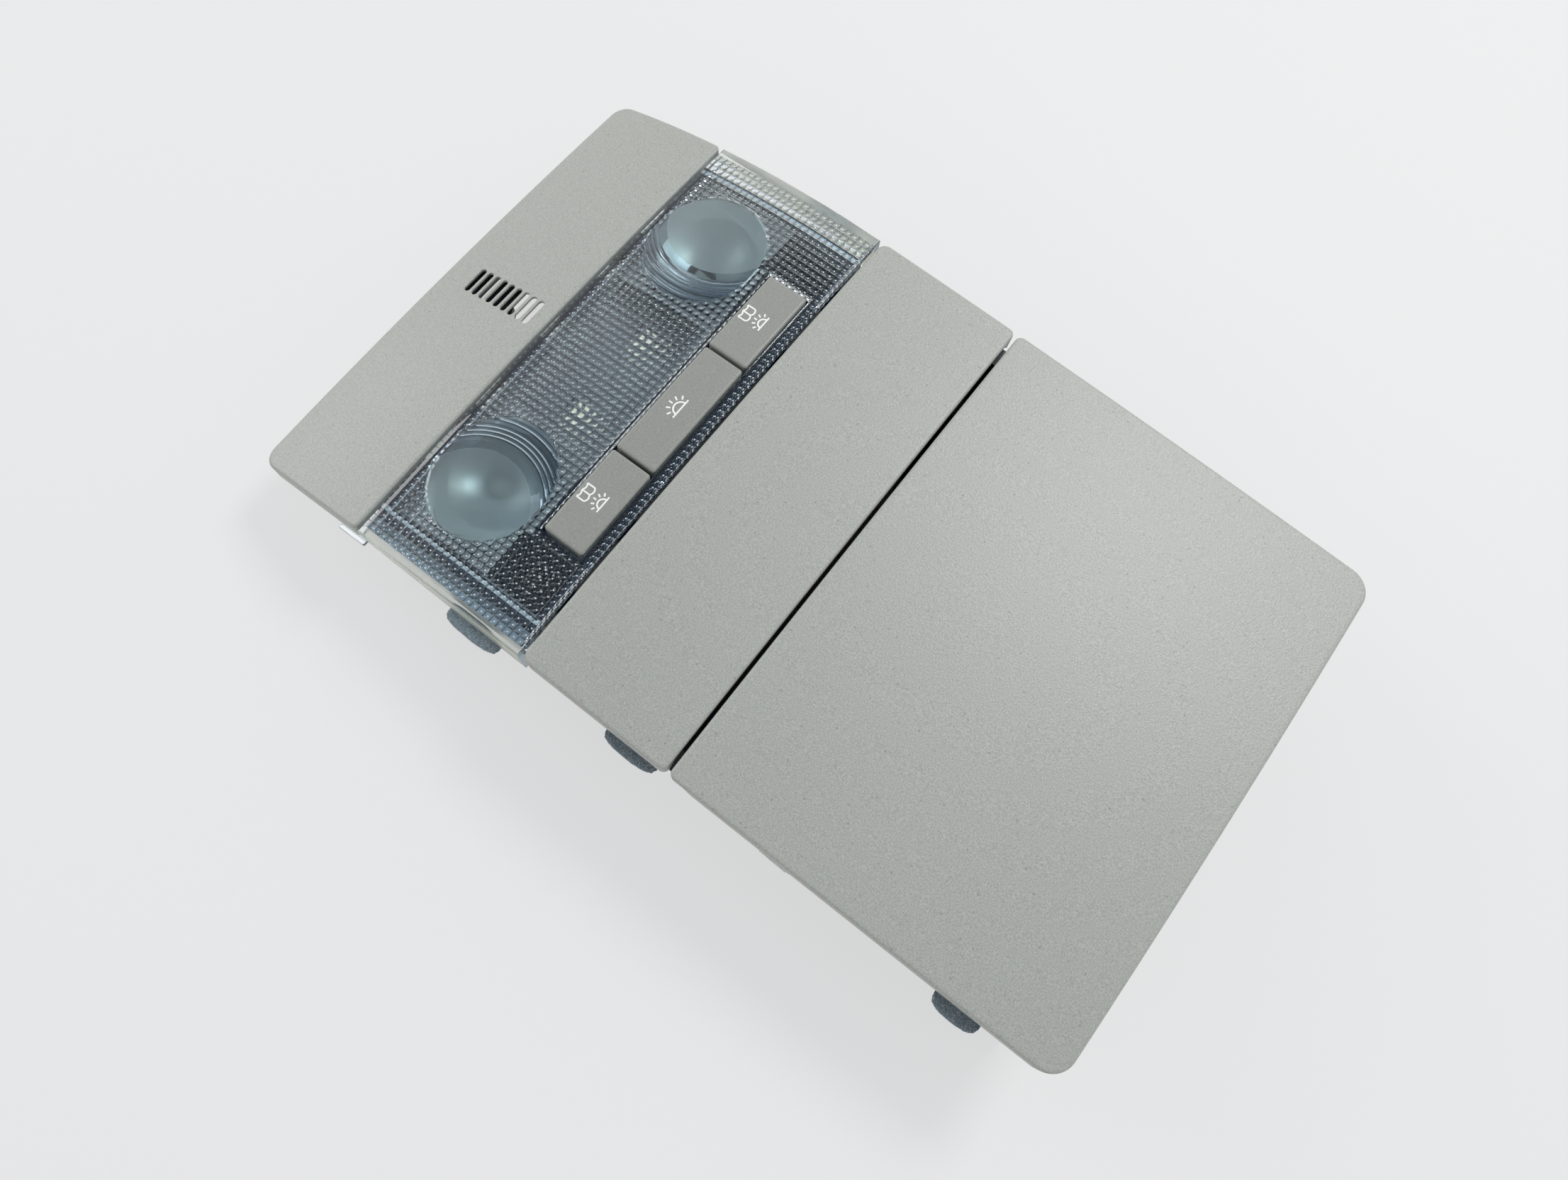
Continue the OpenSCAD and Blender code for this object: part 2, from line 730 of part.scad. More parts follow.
// From the well's wall inward: damper, gear sector, tray arm and ear
damper_x0 = well_half_w - damper_t;
sector_x = [damper_x0 - 1.2 - gear_w, damper_x0 - 1.2];
arm_x = [sector_x[0] - 0.2 - arm_l, sector_x[0] - 0.2];
ear_x = [arm_x[0] - 0.5 - ear_t, arm_x[0] - 0.5];
module carrier_frame() {
    t = carrier_t;
    deck_y1 = y_mid - 0.4;
    color("#303234") {
        difference() {
            union() {
                block(-well_half_w - t, well_half_w + t, well_y0 - t, well_y1 + t, 0, flange_z);
                prism(flange_z - t, flange_z)
                    plan(flange_half_w, y_rear + trim_t + 1, deck_y1, 5, 2);
            }
            block(-well_half_w, well_half_w, well_y0, well_y1, t, flange_z + over);
            both_sides() {
                for (x = lug_x) rod(x, middle_screw_y, 0, console_h, screw_r + 0.2);
                across(well_half_w - over, well_half_w + t + over)
                    translate([pin_y, pin_z]) circle(pin_r + pin_seat);
            }
        }
        // Bosses round the outer ends of the pins
        both_sides() difference() {
            union() {
                across(well_half_w, well_half_w + t) translate([pin_y, pin_z]) circle(pin_r + 2.2);
                across(ear_x[0], ear_x[1]) ear_outline();
            }
            across(ear_x[0] - over, well_half_w + t + over)
                translate([pin_y, pin_z]) circle(pin_r + pin_seat);
        }
        // Ribs along the outside of the well
        both_sides() for (y = [well_y0 + 16:22:well_y1 - 12])
            block(well_half_w + t / 2, well_half_w + t + 1.5, y - 0.9, y + 0.9, 3, flange_z - t / 2);
        // Stiffeners under the deck
        both_sides() for (x = [20, 47])
            block(x - 0.9, x + 0.9, well_y1 + t / 2, deck_y1 - 3, flange_z - 12, flange_z - t / 2);
    }
}
// Ear that carries the inner end of a hinge pin
module ear_outline() {
    translate([pin_y, pin_z]) circle(pin_r + 2.6);
    polygon([[pin_y - pin_r - 2.6, pin_z], [pin_y + pin_r + 2.6, pin_z],
        [well_y1 + carrier_t / 2, pin_z - 6], [well_y1 + carrier_t / 2, carrier_t / 2],
        [pin_y - 1, carrier_t / 2], [pin_y - pin_r - 2.6, pin_z - 14]]);
}

module hinge_pin(side) {
    color("#9A9DA0") translate([side * ear_x[0], pin_y, pin_z]) rotate([0, side * 90, 0])
        cylinder(h = well_half_w + carrier_t - ear_x[0], r = pin_r);
}
module hinge_pin_left() { hinge_pin(-1); }
module hinge_pin_right() { hinge_pin(1); }

// GLASSES TRAY
latch_y = y_rear + rear_inset + carrier_t + 9.5;
latch_half = 6;
tray_top = console_h - 5.5;
tray_reach = pin_y - latch_y - latch_half - latch_room;
tray_front = 24.5;
arm_w = 4;
knee = [-16.5, -16];
arm_end = [-22.5, 2.5];
tray_screw_x = 50;
// Distances of the tray's screws behind the hinge pin
tray_screw_row = [40, 95];
tray_screw_y = [for (d = tray_screw_row) pin_y - d];

// Strut between two points with round ends
module strut(a, b, w) {
    d = b - a;
    translate(a) rotate(atan2(d[1], d[0])) translate([0, -w / 2]) square([norm(d), w]);
    translate(a) circle(w / 2);
    translate(b) circle(w / 2);
}
module tray_outline(wall, low) {
    intersection() {
        circle(tray_reach - wall, $fn = 360);
        translate([-tray_reach, low]) square([tray_reach - tray_front - wall,
            tray_top - pin_z - wall - low]);
    }
}
module at_pin() {
    translate([0, pin_y, pin_z]) children();
}
module glasses_tray() {
    color("#2C2E30") at_pin() {
        difference() {
            across(-tray_half_w, tray_half_w) tray_outline(0, tray_mouth_z - pin_z);
            across(tray_t - tray_half_w, tray_half_w - tray_t)
                tray_outline(tray_t, tray_mouth_z - pin_z - over);
            both_sides() for (y = tray_screw_y)
                translate([tray_screw_x, y - pin_y, 0]) cylinder(h = 20, r = screw_r + 0.2);
        }
        both_sides() difference() {
            across(arm_x[0], arm_x[1]) {
                circle(pin_r + 3);
                strut([0, 0], knee, arm_w);
                strut(knee, arm_end, arm_w);
                translate([-tray_front - tray_t / 2, -6]) square([4, 10.5]);
            }
            across(arm_x[0] - over, arm_x[1] + over) circle(pin_r + pin_play);
        }
    }
}
module tray_liner() {
    gap = 0.1;
    color("#3B3D40") at_pin() difference() {
        across(tray_t + gap - tray_half_w, tray_half_w - tray_t - gap)
            intersection() {
                circle(tray_reach - tray_t - gap, $fn = 360);
                translate([-tray_reach, tray_top - pin_z - tray_t - gap - liner_t])
                    square([tray_reach - tray_front - tray_t - gap, liner_t]);
            }
        both_sides() for (y = tray_screw_y)
            translate([tray_screw_x, y - pin_y, 0]) cylinder(h = 20, r = 3);
    }
}
module tray_screws() {
    color("#8C8F92") both_sides() for (y = tray_screw_y)
        screw(tray_screw_x, y, tray_top - tray_t, tray_t + 1.6);
}

// DAMPER DRIVE
sector_r = gear_m * sector_teeth / 2;
pinion_r = gear_m * pinion_teeth / 2;
mesh_a = 240;
pinion_y = pin_y + (sector_r + pinion_r) * cos(mesh_a);
pinion_z = pin_z + (sector_r + pinion_r) * sin(mesh_a);
pressure_a = 20;

// Angle swept by an involute from its base circle b to radius r
function roll_a(b, r) = r <= b ? 0 : sqrt(pow(r / b, 2) - 1) * 180 / PI - acos(b / r);
// Half the angle of a tooth at radius r, for a gear of pitch radius p and n teeth
function half_tooth(p, n, r) = 90 / n + roll_a(p * cos(pressure_a), p)
    - roll_a(p * cos(pressure_a), r) - gear_lash / p / 4 * 180 / PI;
function tooth_side(p, n, r0, r1, s, steps = 5) = [for (i = [0:steps])
    let (r = r0 + (r1 - r0) * i / steps, a = s * half_tooth(p, n, r)) [r * cos(a), r * sin(a)]];
// Points of one tooth, turned by an angle
function tooth(p, n, low, high, turn) = let (
        left = tooth_side(p, n, low, high, 1), right = tooth_side(p, n, low, high, -1),
        all = concat(right, [for (i = [len(left) - 1:-1:0]) left[i]]))
    [for (q = all) [q[0] * cos(turn) - q[1] * sin(turn), q[0] * sin(turn) + q[1] * cos(turn)]];

module gear_sector() {
    root = sector_r - 1.3 * gear_m;
    tip = sector_r + 0.6 * gear_m;
    step = 360 / sector_teeth;
    teeth = [for (i = [-1:8], q = tooth(sector_r, sector_teeth, root, tip, mesh_a + i * step)) q];
    color("#D8D6CC") at_pin() mirror([1, 0, 0]) difference() {
        union() {
            across(sector_x[0], sector_x[1]) circle(pin_r + 3);
            across(sector_x[0], sector_x[1]) polygon(concat([[0, 0]], teeth));
        }
        across(sector_x[0] - over, sector_x[1] + over) circle(pin_r + pin_play);
    }
}
module damper_pinion() {
    root = pinion_r - 1.25 * gear_m;
    tip = pinion_r + gear_m;
    step = 360 / pinion_teeth;
    turn = mesh_a + 180 + step / 2;
    teeth = [for (i = [0:pinion_teeth - 1],
        q = tooth(pinion_r, pinion_teeth, root, tip, turn + i * step)) q];
    color("#E4E2DA") mirror([1, 0, 0]) translate([0, pinion_y, pinion_z]) difference() {
        across(sector_x[0], damper_x0 - play) polygon(teeth);
        across(sector_x[0] - over, damper_x0) circle(pin_r + pin_play);
    }
}
damper_r = 8;
damper_tab = 6.7;
module damper_body() {
    color("#26282A") mirror([1, 0, 0]) translate([0, pinion_y, pinion_z]) {
        across(damper_x0, well_half_w) {
            circle(damper_r);
            for (s = [-1, 1]) strut([0, 0], [s, 1] * damper_tab, 5);
        }
        across(sector_x[0], damper_x0 + over) circle(pin_r);
    }
}

// LATCH
latch_low = 8;
pocket = [10, 7];
pocket_low = latch_top - 22;
cam_window = [pocket_low + 4, pocket_low + 16];
module latch_housing() {
    color("#2A2C2E") difference() {
        block(-latch_w / 2, latch_w / 2, well_y0, latch_y + latch_half, latch_low, latch_top);
        block(-pocket[0] / 2, pocket[0] / 2, latch_y - pocket[1] / 2, latch_y + pocket[1] / 2,
            pocket_low, latch_top + over);
        // Window that shows the cam track
        block(-2, 2, latch_y, latch_y + latch_half + over, cam_window[0], cam_window[1]);
    }
}
plunger_low = pocket_low + latch_travel + play;
module latch_plunger() {
    g = 0.25;
    color("#D8D6CC") difference() {
        block(g - pocket[0] / 2, pocket[0] / 2 - g, latch_y - pocket[1] / 2 + g,
            latch_y + pocket[1] / 2 - g, plunger_low, latch_top + 2);
        block(-1.2, 1.2, latch_y - pocket[1] / 2, latch_y - 1, latch_top - 2, latch_top + 2 + over);
    }
}
module latch_striker() {
    low = latch_top + 2 + play;
    top = face_z(latch_y - 4) - trim_t - 0.05;
    color("#2C2E30") {
        block(-3, 3, latch_y - 2.5, latch_y + 2.5, low, top);
        for (s = [-1, 1]) block(s * 4 - 1, s * 4 + 1, latch_y - 4, latch_y + 4, top - 5, top);
        block(-5, 5, latch_y - 0.8, latch_y + 0.8, top - 5, top);
    }
}

// PADS
pad_w = 8;
module pad(side, y0, l) {
    z = flange_z - carrier_t;
    color("#4A535D") mirror([side > 0 ? 0 : 1, 0, 0]) prism(z - pad_t, z)
        translate([half_w + pad_out - pad_w / 2, 0]) plan(pad_w / 2, y0, y0 + l, 3, 3);
}
module front_pad(side) {
    y0 = y_mid + 9.3;
    color("#4A535D") mirror([side > 0 ? 0 : 1, 0, 0])
        prism(lens_low - pad_t, lens_low)
            translate([half_w + pad_out - 3.2, 0]) plan(3.2, y0, y0 + pad_l, 3, 3);
}
module felt_pad_left_front() { front_pad(-1); }
module felt_pad_right_front() { front_pad(1); }
module felt_pad_left_middle() { pad(-1, y_lid + 3.3, middle_pad_l); }
module felt_pad_right_middle() { pad(1, y_lid + 3.3, middle_pad_l); }
module felt_pad_left_rear() { pad(-1, y_rear + 20.5, rear_pad_l); }
module felt_pad_right_rear() { pad(1, y_rear + 20.5, rear_pad_l); }
foam_w = 6;
foam_l = 13.4;
foam_inset = 28.6;
module foam_pad() {
    z = flange_z - carrier_t;
    color("#E8E8E4") prism(z - 1, z)
        translate([1 - half_w, 0]) plan(foam_w / 2, y_lid - foam_inset - foam_l, y_lid - foam_inset, 1, 1);
}

front_trim();
lens();
middle_trim();
box_lid();
carrier_frame();
lamp_housing();
reflector();
lamp_board();
centre_led_left();
centre_led_right();
reading_led_left();
reading_led_right();
button_left();
button_centre();
button_right();
switch_left();
switch_centre();
switch_right();
connector_socket();
lamp_screws();
trim_screws();
microphone_bracket();
microphone();
hinge_pin_left();
hinge_pin_right();
glasses_tray();
tray_liner();
tray_screws();
gear_sector();
damper_body();
damper_pinion();
latch_housing();
latch_plunger();
latch_striker();
felt_pad_left_front();
felt_pad_left_middle();
felt_pad_left_rear();
felt_pad_right_front();
felt_pad_right_middle();
felt_pad_right_rear();
foam_pad();
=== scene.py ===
# %% [markdown]
# # An interior light console for a car roof
# The unit is a row of moulded shells over a dark carrier: a grained front trim with sound slots,
# a clear lens with push buttons, a grained middle trim and the lid of a glasses box. The packed
# CAD model is the fixed frame, and every visible surface is dressed round it here. All sizes are
# in metres, in the CAD's own coordinates: +Z is up out of the visible face.

import bmesh
import bpy
import numpy as np
from mathutils import Matrix, Vector


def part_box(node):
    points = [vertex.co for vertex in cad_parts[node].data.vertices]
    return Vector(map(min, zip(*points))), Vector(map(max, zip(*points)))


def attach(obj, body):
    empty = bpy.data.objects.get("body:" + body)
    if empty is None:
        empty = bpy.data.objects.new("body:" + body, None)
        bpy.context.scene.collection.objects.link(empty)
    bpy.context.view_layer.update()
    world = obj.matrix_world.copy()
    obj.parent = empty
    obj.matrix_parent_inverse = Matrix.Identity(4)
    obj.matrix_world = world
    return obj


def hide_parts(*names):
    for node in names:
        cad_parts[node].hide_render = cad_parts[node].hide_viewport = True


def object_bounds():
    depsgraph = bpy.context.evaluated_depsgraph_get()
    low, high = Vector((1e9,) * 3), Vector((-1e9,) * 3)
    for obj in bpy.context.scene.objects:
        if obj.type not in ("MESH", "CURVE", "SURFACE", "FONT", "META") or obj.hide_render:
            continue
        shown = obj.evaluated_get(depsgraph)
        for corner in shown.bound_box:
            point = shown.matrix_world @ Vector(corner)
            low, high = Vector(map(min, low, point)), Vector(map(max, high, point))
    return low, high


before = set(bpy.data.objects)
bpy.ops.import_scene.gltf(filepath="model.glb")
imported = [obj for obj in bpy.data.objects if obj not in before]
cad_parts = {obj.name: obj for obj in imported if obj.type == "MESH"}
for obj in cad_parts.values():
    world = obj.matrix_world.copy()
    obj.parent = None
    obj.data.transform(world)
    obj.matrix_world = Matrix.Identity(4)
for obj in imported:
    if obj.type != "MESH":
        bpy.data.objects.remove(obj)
cad_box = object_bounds()
MM = 0.001

# %% [markdown]
# ## Places and sizes
# The seams between the shells come from the CAD nodes' boxes. The face is one arc of 3 m radius
# along the box and one of 285 mm along the lens and the front trim, and it is crowned by 2.4 mm
# across its width, so one formula gives the height of the skin at any place.

# %% Seams and the skin of the face
half_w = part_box("box_lid")[1][0]
top = cad_box[1][2]
lid_gap, seam_gap = 1.7 * MM, 0.9 * MM
y_rear, y_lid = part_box("box_lid")[0][1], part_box("box_lid")[1][1] + lid_gap / 2
y_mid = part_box("middle_trim")[1][1] + seam_gap / 2
y_lens, y_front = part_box("front_trim")[0][1] - seam_gap / 2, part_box("front_trim")[1][1]
crown_h, skirt_h, rear_r, front_r = 2.4 * MM, 7 * MM, 3.0, 0.285
crown_r = half_w**2 / (2 * crown_h) + crown_h / 2
rear_y, rear_z = (y_rear + y_mid) / 2, top - rear_r
join_a = np.arcsin((y_mid - rear_y) / rear_r)
front_y = y_mid - front_r * np.sin(join_a)
front_z = rear_z + (rear_r - front_r) * np.cos(join_a)


def face_z(y):
    """Height on the centre line: sqrt(r2 - (y - yc)2) + zc, for the arc that holds y."""
    y = np.asarray(y, float)
    rear = rear_z + np.sqrt(rear_r**2 - (y - rear_y) ** 2)
    front = front_z + np.sqrt(np.maximum(front_r**2 - (y - front_y) ** 2, 0))
    return np.where(y <= y_mid, rear, front)


def skin(x, y):
    """Height of the face: the centre line less the crown's drop, r - sqrt(r2 - x2)."""
    return face_z(y) - crown_r + np.sqrt(crown_r**2 - np.asarray(x, float) ** 2)


print("seams at y =", [round(float(v) * 1000, 1) for v in (y_rear, y_lid, y_mid, y_lens, y_front)])

# %% [markdown]
# ## Helpers
# One function turns an sRGB hex value into linear colour, one adds a shader node, and one puts
# numpy arrays into a mesh. A piece is named, rides on a body, so that it moves with it at every
# pose, and takes a slot for the record of its material.

# %% Helpers for colour, nodes and meshes
def rgb(hex_value, alpha=1.0):
    """sRGB to linear: c/12.92 below 0.04045, else ((c + 0.055)/1.055)^2.4."""
    c = np.array([int(hex_value[i : i + 2], 16) / 255 for i in (1, 3, 5)])
    c = np.where(c <= 0.04045, c / 12.92, ((c + 0.055) / 1.055) ** 2.4)
    return (*c.tolist(), alpha)


def add(tree, kind, settings=(), inputs=(), links=()):
    """Adds a node, sets its properties and sockets, and links (socket, source socket) pairs."""
    n = tree.nodes.new(kind)
    for k, v in dict(settings).items():
        setattr(n, k, v)
    for k, v in dict(inputs).items():
        n.inputs[k].default_value = v
    for k, source in dict(links).items():
        tree.links.new(source, n.inputs[k])
    return n


def material(name):
    """An empty node material with its output, and the Principled shader that feeds it."""
    m = bpy.data.materials.new(name)
    m.use_nodes = True
    t = m.node_tree
    t.nodes.clear()
    out = add(t, "ShaderNodeOutputMaterial")
    shader = add(t, "ShaderNodeBsdfPrincipled")
    t.links.new(shader.outputs[0], out.inputs["Surface"])
    return m, t, shader


def piece(name, verts, faces, mat, body="console", crease=35, merge=0):
    """Makes a mesh object from arrays, merges its doubles and marks its sharp edges."""
    me = bpy.data.meshes.new(name)
    me.from_pydata(np.asarray(verts, float).reshape(-1, 3).tolist(), [], [list(f) for f in faces])
    bm = bmesh.new()
    bm.from_mesh(me)
    if merge:
        bmesh.ops.remove_doubles(bm, verts=bm.verts, dist=merge)
    bmesh.ops.recalc_face_normals(bm, faces=bm.faces)
    bm.to_mesh(me)
    bm.free()
    me.polygons.foreach_set("use_smooth", np.ones(len(me.polygons), bool))
    me.set_sharp_from_angle(angle=np.radians(crease))
    o = bpy.data.objects.new(name, me)
    bpy.context.scene.collection.objects.link(o)
    me.materials.append(mat)
    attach(o, body)
    return o


def quads(rows, cols, offset=0, close=False, flip=False):
    """Faces of a rows x cols lattice of points; close joins the last column to the first."""
    i, j = np.meshgrid(np.arange(rows - 1), np.arange(cols if close else cols - 1), indexing="ij")
    k = (j + 1) % cols
    q = np.stack([i * cols + j, i * cols + k, (i + 1) * cols + k, (i + 1) * cols + j], -1)
    q = q.reshape(-1, 4) + offset
    return q[:, ::-1] if flip else q


# %% [markdown]
# ## Finishes
# The trims are injection-moulded ABS with a fine eroded grain, about 0.5 mm from pit to pit. The
# grain is bump from two noise scales, and a faint mottle keeps the large faces from looking flat.

# %% Grained ABS for the trims and painted ABS for the buttons
def grained(name, light, dark, grain_mm, depth_mm, rough, speck=0.5):
    """Grain: cell noise for the pits and fine noise between them. The mottle is 1/22 m wide, and
    cells 1/260 m wide hold a dark speck of dust each; speck is its strength."""
    m, t, shader = material(name)
    co = add(t, "ShaderNodeTexCoord").outputs["Object"]
    grain = add(t, "ShaderNodeTexVoronoi", {"feature": "SMOOTH_F1"},
                {"Scale": 1 / (grain_mm * MM), "Smoothness": 0.6}, {"Vector": co})
    fine = add(t, "ShaderNodeTexNoise", (), {"Scale": 1.6 / (grain_mm * MM), "Detail": 3.0},
               {"Vector": co})
    broad = add(t, "ShaderNodeTexNoise", (), {"Scale": 22.0, "Detail": 3.0}, {"Vector": co})
    dust = add(t, "ShaderNodeTexVoronoi", (), {"Scale": 260.0}, {"Vector": co})
    height = add(t, "ShaderNodeMath", {"operation": "ADD"}, (),
                 {0: grain.outputs["Distance"], 1: fine.outputs["Fac"]})
    bump = add(t, "ShaderNodeBump", (), {"Strength": 0.6, "Distance": depth_mm * MM},
               {"Height": height.outputs[0]})
    spread = add(t, "ShaderNodeMapRange", (), {"From Min": 0.3, "From Max": 0.7},
                 {"Value": fine.outputs["Fac"]})
    cloud = add(t, "ShaderNodeMath", {"operation": "MULTIPLY_ADD"}, {1: 0.12, 2: -0.06},
                {0: broad.outputs["Fac"]})
    both = add(t, "ShaderNodeMath", {"operation": "ADD", "use_clamp": True}, (),
               {0: spread.outputs[0], 1: cloud.outputs[0]})
    mix = add(t, "ShaderNodeMix", {"data_type": "RGBA"}, {6: rgb(dark), 7: rgb(light)},
              {0: both.outputs[0]})
    near = add(t, "ShaderNodeMapRange", (), {"From Min": 0.05, "From Max": 0.11,
               "To Min": speck, "To Max": 0.0}, {"Value": dust.outputs["Distance"]})
    dirty = add(t, "ShaderNodeMix", {"data_type": "RGBA"}, {7: rgb("#7C7C72")},
                {0: near.outputs[0], 6: mix.outputs[2]})
    t.links.new(dirty.outputs[2], shader.inputs["Base Color"])
    t.links.new(bump.outputs[0], shader.inputs["Normal"])
    shader.inputs["Roughness"].default_value = rough
    shader.inputs["IOR"].default_value = 1.52
    return m


# Eroded ABS looks dry and even; soft paint on the buttons is darker, finer and a little smoother
trim_abs = grained("abs_grained_warm_grey", "#BABBB4", "#9C9E97", 0.6, 0.07, 0.46)
button_abs = grained("abs_soft_paint_stone_grey", "#A2A29C", "#8B8C86", 0.5, 0.04, 0.4, 0.0)
print("trim and button finishes made")

# %% [markdown]
# The carrier, the housing and the small mouldings are glass-filled or plain plastic straight
# from the tool: even colour, a slight sheen, and a very faint flow pattern.

# %% Moulded plastics, metals and the lamp parts
def moulded(name, colour, rough, second, scale=90.0, ior=1.5, metallic=0.0, bump_mm=0.02):
    """Noise between two near colours, 1 m / scale wide, and pores of about 0.6 mm as bump."""
    m, t, shader = material(name)
    co = add(t, "ShaderNodeTexCoord").outputs["Object"]
    cloud = add(t, "ShaderNodeTexNoise", (), {"Scale": scale, "Detail": 3.0}, {"Vector": co})
    pores = add(t, "ShaderNodeTexNoise", (), {"Scale": 1800.0, "Detail": 2.0}, {"Vector": co})
    mix = add(t, "ShaderNodeMix", {"data_type": "RGBA"},
              {6: rgb(colour), 7: rgb(second)}, {0: cloud.outputs["Fac"]})
    bump = add(t, "ShaderNodeBump", (), {"Strength": 0.3, "Distance": bump_mm * MM},
               {"Height": pores.outputs["Fac"]})
    t.links.new(mix.outputs[2], shader.inputs["Base Color"])
    t.links.new(bump.outputs[0], shader.inputs["Normal"])
    for k, v in (("Roughness", rough), ("IOR", ior), ("Metallic", metallic)):
        shader.inputs[k].default_value = v
    return m


# Plain moulded plastic: dark, even and half matt
dark_pp = moulded("polypropylene_moulded_black", "#22272C", 0.5, "#2A3036")
rib_pc = moulded("polycarbonate_moulded_steel_blue", "#77858F", 0.4, "#82909A")
housing_pc = moulded("polycarbonate_moulded_dark_blue", "#0F1B2A", 0.38, "#152435")
# Vacuum metallising on a satin base: a grey, dulled mirror
metallised = moulded("abs_vacuum_metallised_satin", "#868A89", 0.3, "#989C9A", 60.0, 1.5, 0.7, 0.05)
# Lacquer gives the board its wet green; cast silicone makes the LEDs soft and creamy
board_green = moulded("epoxy_glass_lacquered", "#22352F", 0.35, "#2B4038")
led_cream = moulded("phosphor_silicone_cast", "#F6EED2", 0.35, "#FBF4DE")
led_unlit = moulded("phosphor_silicone_unlit", "#75756B", 0.4, "#807F74")
# Zinc has a broken grey sheen; natural acetal is milky
zinc_steel = moulded("steel_zinc_plated", "#8F9294", 0.38, "#A3A6A8", 200.0, 1.5, 1.0)
acetal = moulded("acetal_moulded_natural", "#DAD8CF", 0.4, "#E2E0D8")
# Flock swallows the light; printed ink is flat and opaque
flock = moulded("flock_sprayed_charcoal", "#2B2D2F", 0.95, "#36393B", 600.0, 1.4, 0.0, 0.3)
ink_white = moulded("pad_print_ink_white", "#F4F4EE", 0.5, "#FAFAF6")

# %% [markdown]
# Seen through the lens, the dark housing has a pale line near each end. It is drawn on the
# housing's own material: where |x| is close to one value, down to a depth below the face.

# %% Pale lines at the housing's ends
coat_at, coat_half, coat_depth = 69.9 * MM, 0.7 * MM, 24 * MM
coat_tree = housing_pc.node_tree
coat_xyz = add(coat_tree, "ShaderNodeSeparateXYZ", (), (),
               {0: add(coat_tree, "ShaderNodeTexCoord").outputs["Object"]})
coat_x = add(coat_tree, "ShaderNodeMath", {"operation": "ABSOLUTE"}, (), {0: coat_xyz.outputs[0]})
coat_end = add(coat_tree, "ShaderNodeMath", {"operation": "COMPARE"},
               {1: coat_at, 2: coat_half}, {0: coat_x.outputs[0]})
coat_high = add(coat_tree, "ShaderNodeMath", {"operation": "GREATER_THAN"},
                {1: top - coat_depth}, {0: coat_xyz.outputs[2]})
coat_both = add(coat_tree, "ShaderNodeMath", {"operation": "MULTIPLY"}, (),
                {0: coat_end.outputs[0], 1: coat_high.outputs[0]})
coat_shader = next(n for n in coat_tree.nodes if n.type == "BSDF_PRINCIPLED")
coat_from = coat_shader.inputs["Base Color"].links[0].from_socket
coat_mix = add(coat_tree, "ShaderNodeMix", {"data_type": "RGBA"}, {7: rgb("#A4ADB0")},
               {0: coat_both.outputs[0], 6: coat_from})
coat_tree.links.new(coat_mix.outputs[2], coat_shader.inputs["Base Color"])
print("pale lines at |x| =", round(coat_at / MM, 1), "mm")

# %% [markdown]
# Needled felt and open foam have no outline of their own: short fibres catch the light, so the
# face is matt, with pale flecks and a weak sheen.

# %% Felt and foam
def fibrous(name, colour, fleck, scale_mm, bump_mm):
    """Needled felt: short fibres as stretched noise, with paler flecks between them."""
    m, t, shader = material(name)
    co = add(t, "ShaderNodeTexCoord").outputs["Object"]
    warp = add(t, "ShaderNodeTexNoise", (), {"Scale": 0.6 / (scale_mm * MM), "Detail": 2.0},
               {"Vector": co})
    fibre = add(t, "ShaderNodeTexNoise", (), {"Scale": 1 / (scale_mm * MM), "Detail": 6.0,
                "Distortion": 2.5}, {"Vector": co})
    ramp = add(t, "ShaderNodeMapRange", (), {"From Min": 0.44, "From Max": 0.66},
               {"Value": fibre.outputs["Fac"]})
    mix = add(t, "ShaderNodeMix", {"data_type": "RGBA"}, {6: rgb(colour), 7: rgb(fleck)},
              {0: ramp.outputs[0]})
    height = add(t, "ShaderNodeMath", {"operation": "ADD"}, (),
                 {0: warp.outputs["Fac"], 1: fibre.outputs["Fac"]})
    bump = add(t, "ShaderNodeBump", (), {"Strength": 0.9, "Distance": bump_mm * MM},
               {"Height": height.outputs[0]})
    t.links.new(mix.outputs[2], shader.inputs["Base Color"])
    t.links.new(bump.outputs[0], shader.inputs["Normal"])
    shader.inputs["Roughness"].default_value = 0.95
    shader.inputs["Sheen Weight"].default_value = 0.25
    return m


felt_blue = fibrous("felt_needled_blue_grey", "#67767F", "#C6D0D5", 0.5, 0.5)
foam_white = fibrous("polyether_foam_white", "#EDEFEE", "#F8F8F7", 0.8, 0.3)
print("felt and foam made")

# %% [markdown]
# ## The clear lens material
# The lens is injection-moulded polycarbonate: colourless, glossy and slightly blue in its depth.
# It is true glass to the renderer, so the pillows bend what lies behind them.

# %% Clear polycarbonate, its cut edges and its etched faces
def let_lamps_through(tree, shader, tint):
    """A Mix Shader that puts in a Transparent shader for shadow rays, so lamps light what lies
    behind the clear plastic."""
    ray = add(tree, "ShaderNodeLightPath")
    gap = add(tree, "ShaderNodeBsdfTransparent", (), {"Color": rgb(tint)})
    both = add(tree, "ShaderNodeMixShader", (), (), {0: ray.outputs["Is Shadow Ray"],
               1: shader.outputs[0], 2: gap.outputs[0]})
    out = next(n for n in tree.nodes if n.type == "OUTPUT_MATERIAL")
    tree.links.new(both.outputs[0], out.inputs["Surface"])


